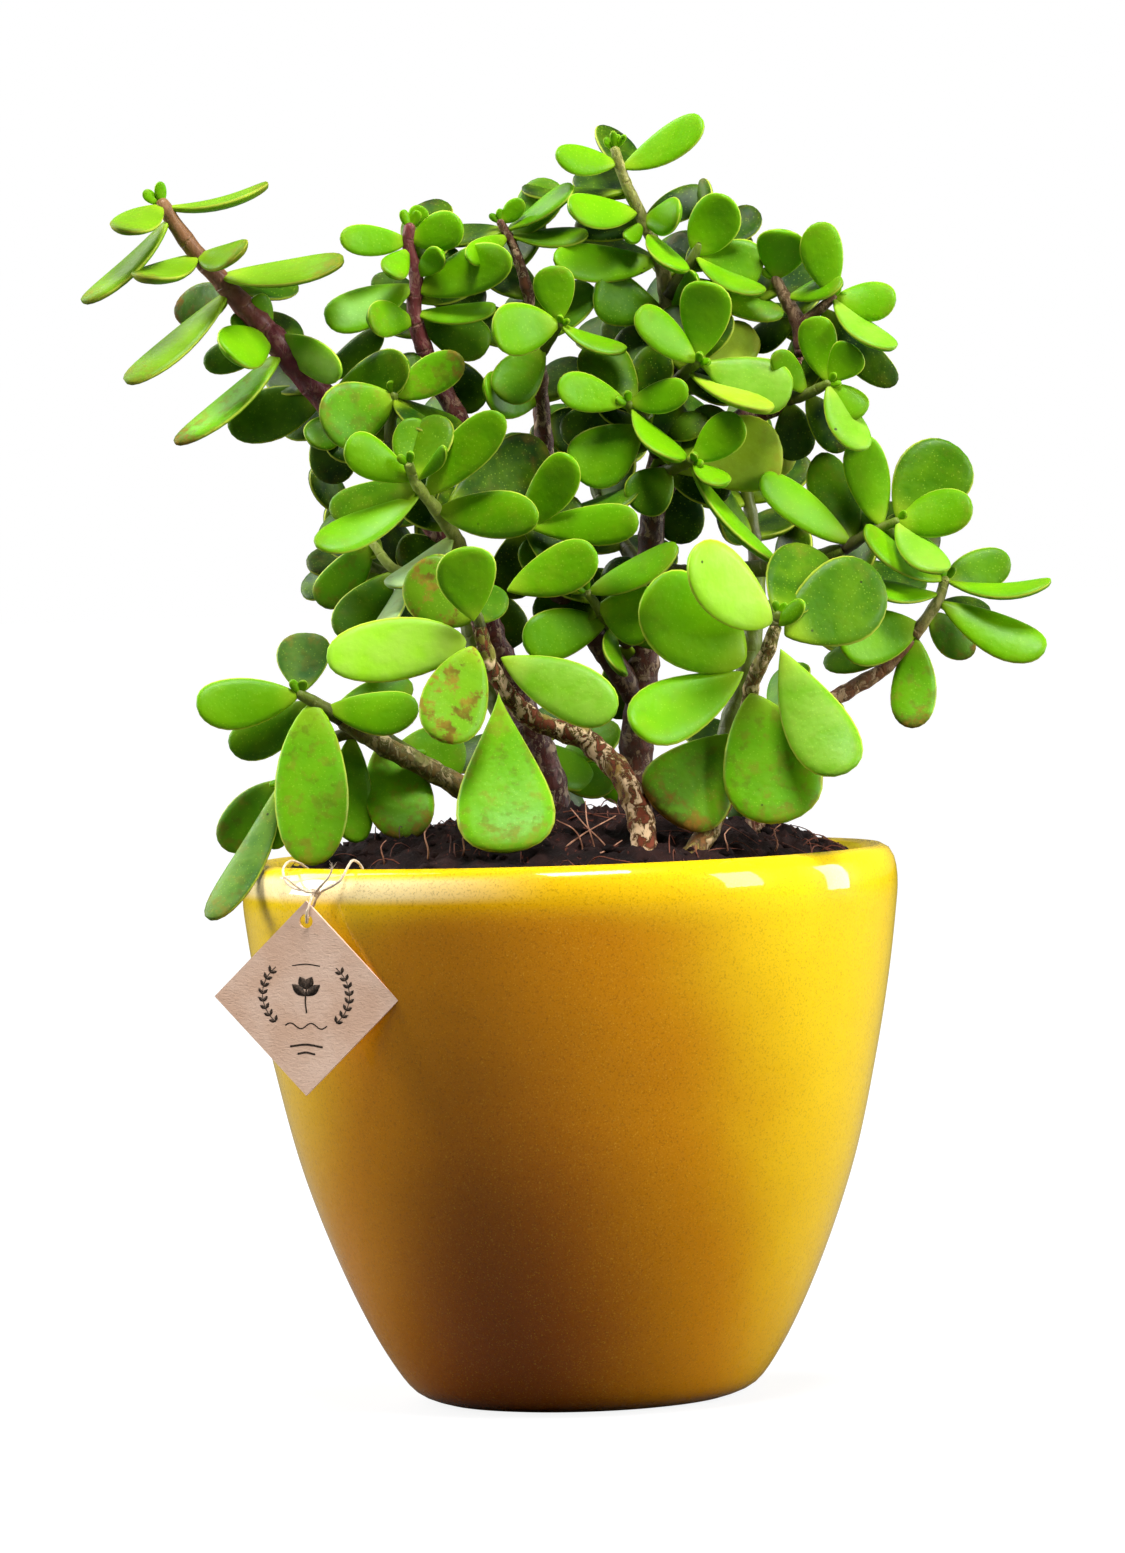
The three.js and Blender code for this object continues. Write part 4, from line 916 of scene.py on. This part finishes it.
# each mark: a colour, how much of it shows, then brown mottling, a scorched tip and a pale face
markLooks = {
    "cream": ((112, 168, 22), 0.5, 0.1, 0, 0.15), "mottled": ((112, 156, 26), 0.5, 1, 0.2, 0),
    "red": ((74, 120, 20), 0.6, 0.35, 1, 0), "speckled": ((96, 164, 20), 0.4, 0.4, 0.35, 0),
    "bright": ((150, 214, 24), 0.8, 0, 0, 0.25), "scorched": ((96, 160, 22), 0.3, 0.45, 0.9, 0),
    "yellow": ((176, 206, 40), 0.6, 0.1, 0.3, 0.1), "blue": ((44, 92, 28), 0.9, 0.25, 0.3, 0.1),
    "grey": ((136, 168, 122), 0.9, 0.25, 0.1, 0.3), "dull": ((104, 142, 18), 0.75, 0.1, 0.5, 0),
}
# how much narrower at the base some of the front leaves are
narrowBase = {"leaf_left_hanging": 0.35, "leaf_right_hanging": 0.15, "leaf_left_side": -0.1,
              "leaf_right_broad": -0.1, "leaf_left_top": 0.2, "leaf_left_inner": 0.1, "leaf_right_side": 0.1}
leafSet = {"rings": 15, "around": 16, "thickShare": 0.16, "thickLeast": 0.9, "sag": 0.06, "twist": 9,
           "cup": 0.09, "crowd": 13, "shadowPerLeaf": 0.17, "shade": (18, 54, 0), "lit": (96, 160, 0)}


def leafBodies(rows, p, seed):
    # Each leaf, from base to tip: half width = width / 2 * t^a * (1 - t)^b over its peak, half depth = half
    # the thickness * the root of that, a flattened oval across, sunk in the middle of its length by the sag,
    # its edges drawn forward by the cup, and turned about its length by the twist. Lift tips its face up.
    base, tip = rows[:, 0:3], rows[:, 3:6]
    width, lift = rows[:, 6], np.radians(rows[:, 7])
    rng = np.random.default_rng(seed)
    n = len(rows)
    span = tip - base
    length = np.linalg.norm(span, axis=1)[:, None, None]
    along = unit(span)
    front = unit(np.array([0, -1, 0]) + along * along[:, 1:2])
    rise = np.cross(along, front)
    rise = rise * np.where(rise[:, 2:] < 0, -1, 1)
    face = front * np.cos(lift)[:, None] + rise * np.sin(lift)[:, None]
    side = np.cross(face, along)
    t = (0.5 - 0.5 * np.cos(np.pi * np.linspace(0.07, 0.985, p["rings"])))[None, :, None]
    angle = (2 * np.pi * np.arange(p["around"]) / p["around"])[None, None, :]
    a = rng.uniform(0.62, 0.98, (n, 1, 1)) + rows[:, 8, None, None]
    b = rng.uniform(0.4, 0.5, (n, 1, 1))
    peak = (a / (a + b)) ** a * (b / (a + b)) ** b
    outline = t**a * (1 - t) ** b / peak
    ripple = 1 + 0.02 * np.sin(7 * t + rng.uniform(0, 6, (n, 1, 1)) + 2 * np.sign(np.cos(angle)))
    half = width[:, None, None] / 2 * outline * ripple
    depth = (p["thickLeast"] + p["thickShare"] * width[:, None, None]) / 2 * np.sqrt(outline)
    x = half * np.cos(angle)
    cup = p["cup"] * rng.uniform(-0.3, 1.4, (n, 1, 1))
    z = depth * np.sin(angle) * np.where(np.sin(angle) > 0, 0.85, 1.15) + cup * half * np.cos(angle) ** 2
    z = z - p["sag"] * length * 4 * t * (1 - t) * rng.uniform(0.5, 1.5, (n, 1, 1))
    x = x + length * 0.03 * rng.uniform(-1, 1, (n, 1, 1)) * np.sin(np.pi * t)
    turn = np.radians(p["twist"]) * rng.uniform(-1, 1, (n, 1, 1)) * (t - 0.3)
    x, z = x * np.cos(turn) - z * np.sin(turn), x * np.sin(turn) + z * np.cos(turn)
    rings = (base[:, None, None] + along[:, None, None] * (t * length + 0 * x)[..., None]
             + side[:, None, None] * x[..., None] + face[:, None, None] * z[..., None])
    return rings, base, tip, t + 0 * x, np.abs(np.cos(angle)) + 0 * x


def makeLeaves(name, rows, marks, p, material, others, narrow):
    rows = np.hstack([rows, np.full((len(rows), 1), narrow)])
    seed = sum(ord(letter) * (i + 1) for i, letter in enumerate(name))
    rings, base, tip, along, across = leafBodies(rows, p, seed)
    points, faces = gather([(rings[i], [base[i], tip[i]]) for i in range(len(rows))])
    rng = np.random.default_rng(seed + 1)
    # painted light and shade: leaves at the outside and the top are painted pale, and each leaf that stands
    # before one paints it a darker green as painted shade
    offset = (base + tip)[:, None] / 2 - others
    before = (np.hypot(offset[..., 0], offset[..., 2]) < p["crowd"]) & (offset[..., 1] > 3)
    light = 1.05 - before.sum(1) * p["shadowPerLeaf"] + (rows[:, 5] - 160) / 400 + rng.uniform(-0.2, 0.2, len(rows))
    light = np.clip(light, 0, 1)[:, None]
    tint = linear(*p["shade"]) * (1 - light) + linear(*p["lit"]) * light
    wear = np.tile([0.06, 0.12, 0.0], (len(rows), 1)) * rng.uniform(0, 2, (len(rows), 3))
    for i, mark in marks.items():
        colour, share, *worn = markLooks[mark]
        tint[i] = tint[i] * (1 - share) + linear(*colour) * share
        wear[i] = worn
    each = rings.shape[1] * rings.shape[2] + 2
    lines = [np.concatenate([v.reshape(len(rows), -1), ends], 1).ravel() for v, ends in (
        (along, np.tile([0.0, 1.0], (len(rows), 1))), (across, np.zeros((len(rows), 2))))]
    made = piece(name + "_leaves", points, faces, material, "leaf", {
        "leafTintAndShade": np.repeat(tint, each, 0), "leafWear": np.repeat(wear, each, 0),
        "alongLeaf": lines[0], "acrossLeaf": lines[1]})
    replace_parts(made, name)


def shaderLeaf():
    s = Shader("jadeLeaf", Subsurface_Weight=0.1, Subsurface_Radius=(0.5, 1.0, 0.15),
               Subsurface_Scale=0.0022, Specular_IOR_Level=0.1, Coat_Roughness=0.25, Coat_IOR=1.4)
    # each leaf's green, read from its attribute, holds its painted light and shade and its mark
    tint, along, across = s.colour("leafTintAndShade"), s.value("alongLeaf"), s.value("acrossLeaf")
    wear = s.colour("leafWear")
    mottle, scorch, pale = (s.node("ShaderNodeSeparateColor", None, {0: wear}, i) for i in range(3))
    cloud, blotch = s.noise(150, 3), s.noise(380, 5, 0.66)
    base = s.mix(cloud.between(0.3, 0.72) * 0.4, tint, s.mix(0.55, tint, solid(136, 184, 0)))
    base = s.mix((1 - along.between(0.05, 0.3)) * 0.5, base, solid(160, 190, 36))
    faded = pale * (1 - across.between(0.75, 1)) * cloud.between(0.2, 0.7) * 0.7
    base = s.mix(faded, base, solid(206, 208, 140))
    pores = s.cells(1500)
    base = s.mix((1 - pores.between(0.1, 0.26)) * 0.2, base, solid(186, 222, 70))
    margin = across.between(0.93, 0.997) * along.between(0.12, 0.3)
    base = s.mix(margin * 0.75, base, solid(198, 210, 72))
    patches = blotch.between(0.5, 0.62) * mottle
    brown = s.mix(cloud.between(0.4, 0.6), solid(92, 64, 16), solid(140, 112, 34))
    base = s.mix(patches * 0.85, base, brown)
    burnt = (along + blotch * 0.5 - 0.25 + across * 0.04).between(0.78, 0.98) * scorch
    base = s.mix(burnt * 0.85, base, s.mix(blotch.between(0.4, 0.65), solid(66, 30, 16), solid(132, 84, 34)))
    specks = (1 - s.cells(170).between(0.035, 0.06)) * s.noise(60).between(0.56, 0.6)
    base = s.mix(specks * 0.85, base, solid(38, 34, 14))
    rough = cloud * 0.14 + 0.36 + patches * 0.3 + burnt * 0.4
    return s.feed(Base_Color=base, Roughness=rough, Coat_Weight=0.06 - patches * 0.05,
                  Normal=s.bump(s.noise(900, 3), 0.00014, 0.35, s.bump(cloud, 0.0012, 0.3)))


# Stems

# colour at the root, colour at the far end, how scaly the bark is
stemLooks = {
    "front_left_stem": ((140, 78, 42), (122, 126, 44), 1),
    "front_right_stem": ((134, 104, 30), (124, 132, 40), 0.7),
    "trunk": ((74, 38, 14), (40, 20, 12), 0.3),
    "middle_stem": ((36, 18, 10), (76, 26, 28), 0.2),
    "right_stem": ((100, 68, 44), (126, 96, 60), 0.45),
    "left_low_stem": ((58, 44, 24), (110, 116, 44), 0.4),
    "left_stem": ((44, 28, 22), (98, 38, 48), 0.4),
    "right_high_stem": ((56, 34, 28), (86, 40, 46), 0.3),
    "left_high_base": ((84, 20, 32), (96, 26, 38), 0.1),
    "left_high_shoot": ((96, 26, 38), (134, 96, 54), 0.05),
    "purple_shoot": ((104, 34, 46), (116, 48, 50), 0.15),
    "upper_middle_shoot": ((66, 42, 30), (122, 86, 62), 0.5),
    "right_high_shoot": ((84, 40, 46), (120, 96, 58), 0.2),
    "crown_shoot": ((62, 36, 30), (150, 158, 66), 0.2),
    "right_tip_shoot": ((132, 110, 62), (150, 166, 66), 0.2),
    "left_whorl_shoot": ((70, 56, 30), (160, 182, 74), 0.1),
}
plainStem = ((48, 38, 12), (100, 124, 20), 0.05)
stemSet = {"step": 0.7, "around": 14, "ring": 5.2, "swell": 0.1}


def makeStems(name, parts, p, material):
    # tubes with low swellings where leaves have stood, each a ring about the stem
    look = stemLooks.get(name, plainStem)
    bodies, runs, tints = [], [], []
    seed = sum(map(ord, name))
    for path, radii in parts:
        def worn(run, angle, line):
            knots = np.exp(-(((run / p["ring"] + 0.3 * np.sin(run / 9)) % 1 - 0.5) / 0.16) ** 2)
            about = 1.4 * np.stack([np.cos(angle), np.sin(angle), 0 * angle], -1)
            rough = waves(line[:, None] + about, 3.2, seed)
            return 1 + p["swell"] * knots + (0.03 + 0.06 * look[2]) * rough

        rings, ends, run = tube(path, radii, p["step"], p["around"], worn)
        bodies.append((rings, ends))
        run = np.concatenate([np.repeat(run, p["around"]), [0, run[-1]]])
        share = (run / run[-1])[:, None] ** 0.8
        runs.append(run)
        tints.append(linear(*look[0]) * (1 - share) + linear(*look[1]) * share)
    tints = np.vstack(tints)
    return piece(name + "_bark", *gather(bodies), material, "bark", {
        "barkTint": tints, "barkRun": np.concatenate(runs), "scaly": np.full(len(tints), float(look[2]))})


def shaderBark(p):
    s = Shader("stemBark", Specular_IOR_Level=0.3, Coat_Roughness=0.35)
    tint, run, scaly = s.colour("barkTint"), s.value("barkRun"), s.value("scaly")
    tone, streak = s.noise(300, 4), s.noise(1300, 4, 0.6, at=s.stretched(1, 1, 0.3))
    base = s.mix(tone.between(0.35, 0.75) * (scaly * 0.5 + 0.1), tint, s.mix(0.4, tint, solid(176, 112, 60)))
    base = s.mix(streak.between(0.5, 0.75) * 0.5, base, s.mix(0.6, tint, solid(30, 12, 10)))
    ring = abs((run / p["ring"] + tone * 0.5).fraction() - 0.5)
    scar = (1 - ring.between(0.015, 0.06)) * tone.between(0.42, 0.6)
    base = s.mix(scar * 0.35, base, s.mix(0.4, tint, solid(186, 150, 104)))
    # peeling bark: ragged cream flakes, rust between them and dark cracks
    torn = s.noise(640, 5, 0.72, at=s.stretched(1, 1, 0.6), warp=0.7)
    flake = torn.between(0.51, 0.55) * s.noise(190, 2).between(0.38, 0.5) * scaly
    crack = (1 - abs(torn - 0.47).between(0.004, 0.03)) * scaly
    base = s.mix((1 - torn.between(0.42, 0.52)) * scaly * 0.9, base, solid(110, 40, 20))
    base = s.mix(flake * 0.9, base, solid(228, 196, 156))
    base = s.mix(crack * 0.8, base, solid(32, 14, 10))
    lift = flake * 0.7 + torn * scaly * 0.8 + streak * 0.4 - crack * 0.6 - scar * 0.4
    return s.feed(Base_Color=base, Roughness=tone * 0.15 + 0.42 + scaly * 0.3, Coat_Weight=0.2 - scaly * 0.2,
                  Normal=s.bump(lift, 0.0007, 0.8))


# small young leaves near the tips of two shoots, in the form of the shoots' own leaves
extraLeaves = {
    "crown_shoot": [[6, 12.4, -3, 231.4, 1.5, 10], [6, 14.6, -3, 230.6, 1.2, 10]],
    "left_low_shoot": [[2, -46.8, -17.5, 133.4, 1.8, 10]],
}


def leafRows(path, leaves):
    # base of each leaf on its stem's line, a little way out towards its tip, then tip, width and lift
    leaves = np.array(leaves, float)
    base = curveAt(path, leaves[:, 0])
    base = base + unit(leaves[:, 1:4] - base) * 0.2
    return np.hstack([base, leaves[:, 1:]])


def tipBuds(path, radii):
    # the two smallest leaves, shut together at the end of a shoot
    end = curveAt(path, [len(path) - 1])[0]
    along = unit(end - curveAt(path, [len(path) - 1.2])[0])
    side = unit(np.cross(along, [0, 1, 0.2]))
    size = radii[1] * 3
    return [[*end, *(end + along * size + side * turn * size * 0.45), size * 0.6, 20] for turn in (-1, 1)]


def pairRows(shoot, p):
    # opposite pairs at even steps along the shoot, each turned a right angle from the last
    rows, path = [], shoot["path"]
    for k in range(shoot["pairs"]):
        share = (k + 1) / shoot["pairs"]
        spot = curveAt(path, [share * (len(path) - 1)])[0]
        along = unit(spot - curveAt(path, [share * (len(path) - 1) - 0.02])[0])
        across = unit(np.cross([0, 0, 1], along))
        over = np.cross(along, across)
        spread, length = math.radians(p["spread"] - 14 * share), p["length"] * (1.08 - 0.22 * share)
        for flip in (0, math.pi):
            around = math.radians(shoot["turn"]) + k * math.pi / 2 + flip
            out = across * math.cos(around) + over * math.sin(around)
            tip = spot + length * (along * math.cos(spread) + out * math.sin(spread))
            tip[2] -= p["droop"] * length
            rows.append([*(spot + unit(tip - spot) * 0.2), *tip, p["width"] * (1.05 - 0.2 * share), 50])
    return rows


def farRows(shoot, p):
    # leaves on the shoot's far side: even steps, each turned by the golden angle, all facing back
    rows, path, count = [], shoot["path"], shoot.get("far", 0)
    for k in range(count):
        place = (k + 0.5) / (count + 0.5) * (len(path) - 1)
        spot = curveAt(path, [place])[0]
        along = unit(curveAt(path, [place + 0.01])[0] - curveAt(path, [place - 0.01])[0])
        across = unit(np.cross([0, 0, 1], along))
        over, around = np.cross(along, across), math.radians(p["turn"] * (k + count))
        out = across * math.cos(around) + over * math.sin(around)
        out = unit(out * (-1 if out[1] < 0 else 1) + [0, 0.5, 0])
        spread = math.radians(p["spread"])
        tip = spot + p["length"] * (along * math.cos(spread) + out * math.sin(spread))
        rows.append([*(spot + unit(tip - spot) * 0.2), *tip, p["width"], 35])
    return rows


# a short cut stub, which stands clear behind the front left stem and doesn't join it
stubPath, stubRadii = [[4.6, -20.4, 118.6], [4.2, -21.4, 121], [3.9, -22, 123.4]], [1.3, 0.95]


def makePlant():
    skin, bark = shaderLeaf(), shaderBark(stemSet)
    leafy = [(name, [[*base, *tip, width, lift]], leafMarks.get(name, {}))
             for name, (base, tip, width, lift) in frontLeaves.items()]
    for name, stem in stems.items():
        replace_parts(makeStems(name, [(stem["path"], stem["radii"])], stemSet, bark), name)
    makeStems("cut_stub", [(stubPath, stubRadii)], stemSet, bark)
    for name, shoot in shoots.items():
        parts = [(name, shoot)] + ([(name + "_twig", shoot["twig"])] if "twig" in shoot else [])
        rows, marks = [], {}
        for part, plan in parts:
            marks.update({len(rows) + i: mark for i, mark in leafMarks.get(part, {}).items()})
            rows += list(leafRows(plan["path"], plan["leaves"] + extraLeaves.get(part, [])))
            rows += farRows(plan, farLeaves) + tipBuds(plan["path"], plan["radii"])
        leafy.append((name, rows, marks))
        makeStems(name, [(plan["path"], plan["radii"]) for _, plan in parts], stemSet, bark)
    for name, shoot in backShoots.items():
        leafy.append((name, pairRows(shoot, backPairs) + tipBuds(shoot["path"], backPairs["radii"]), {}))
        makeStems(name, [(shoot["path"], backPairs["radii"])], stemSet, bark)
    middles = np.array([(np.array(row[0:3]) + row[3:6]) / 2 for _, rows, _ in leafy for row in rows])
    for name, rows, marks in leafy:
        makeLeaves(name, np.array(rows), marks, leafSet, skin, middles, narrowBase.get(name, 0))


# Studio

lamps = {
    "overhead": {"at": (0.1, -0.5, 1.35), "size": (0.5, 0.4), "power": 30},
    "rightFront": {"at": (1.25, -0.65, 0.6), "size": (0.4, 0.7), "power": 19},
    "rightBack": {"at": (1.2, 0.35, 0.34), "size": (0.3, 0.6), "power": 10},
    "leftBack": {"at": (-1.2, 0.35, 0.5), "size": (0.4, 0.6), "power": 16},
    "leftTop": {"at": (-0.72, 0.55, 0.95), "size": (0.35, 1.0), "power": 11},
}


def makeStudio(p):
    for name, lamp in p.items():
        light = bpy.data.lights.new(name, "AREA")
        light.shape, light.energy = "RECTANGLE", lamp["power"]
        light.size, light.size_y = lamp["size"]
        holder = bpy.data.objects.new(name, light)
        holder.location = lamp["at"]
        holder.rotation_euler = (Vector((0, 0, 0.11)) - holder.location).to_track_quat("-Z", "Y").to_euler()
        scene.collection.objects.link(holder)
    mesh = bpy.data.meshes.new("floor")
    mesh.from_pydata([(-20, -20, 0), (20, -20, 0), (20, 20, 0), (-20, 20, 0)], [], [(0, 1, 2, 3)])
    # a pale floor that glows to the eye only, so that little of it comes back on the glaze
    paint = Shader("paleFloor", Specular_IOR_Level=0.0, Roughness=1, Emission_Color=(1, 1, 1, 1))
    paint.surface.inputs["Base Color"].default_value = (0.12, 0.12, 0.12, 1)
    away = paint.node("ShaderNodeVectorMath", {"operation": "LENGTH"}, {0: paint.spot}, 1)
    glow = away.between(0.08, 0.45) * 0.12 + 0.88
    paint.feed(Emission_Strength=paint.node("ShaderNodeLightPath", None, {}) * glow)
    mesh.materials.append(paint.material)
    floor = bpy.data.objects.new("floor", mesh)
    scene.collection.objects.link(floor)
    # a white surround that gives less light from low at the front left
    scene.world = bpy.data.worlds.new("surround")
    scene.world.use_nodes = True
    nodes, links = scene.world.node_tree.nodes, scene.world.node_tree.links
    nodes.clear()
    way, dark, ramp = (nodes.new(k) for k in (
        "ShaderNodeTexCoord", "ShaderNodeVectorMath", "ShaderNodeMapRange"))
    dark.operation = "DOT_PRODUCT"
    dark.inputs[1].default_value = (-0.45, -0.88, -0.12)
    ramp.interpolation_type = "SMOOTHSTEP"
    for key, value in (("From Min", -0.3), ("From Max", 0.8), ("To Min", 0.16), ("To Max", 0.09)):
        ramp.inputs[key].default_value = value
    glow, white, seen, mix, out = (nodes.new(k) for k in (
        "ShaderNodeBackground", "ShaderNodeBackground", "ShaderNodeLightPath", "ShaderNodeMixShader",
        "ShaderNodeOutputWorld"))
    links.new(way.outputs["Generated"], dark.inputs[0])
    links.new(dark.outputs["Value"], ramp.inputs["Value"])
    links.new(ramp.outputs[0], glow.inputs["Strength"])
    glow.inputs["Color"].default_value = white.inputs["Color"].default_value = (1, 1, 1, 1)
    links.new(seen.outputs["Is Camera Ray"], mix.inputs[0])
    links.new(glow.outputs[0], mix.inputs[1])
    links.new(white.outputs[0], mix.inputs[2])
    links.new(mix.outputs[0], out.inputs[0])
    scene.view_settings.view_transform = "Standard"


makeCamera(cameraSet)
makeTwine(twineSet)
print("camera and twine made")
makePot(potSet)
makeSoil(soilSet)
makeTag(tagSet)
print("pot, soil and tag made")
makePlant()
print("plant made")
makeStudio(lamps)
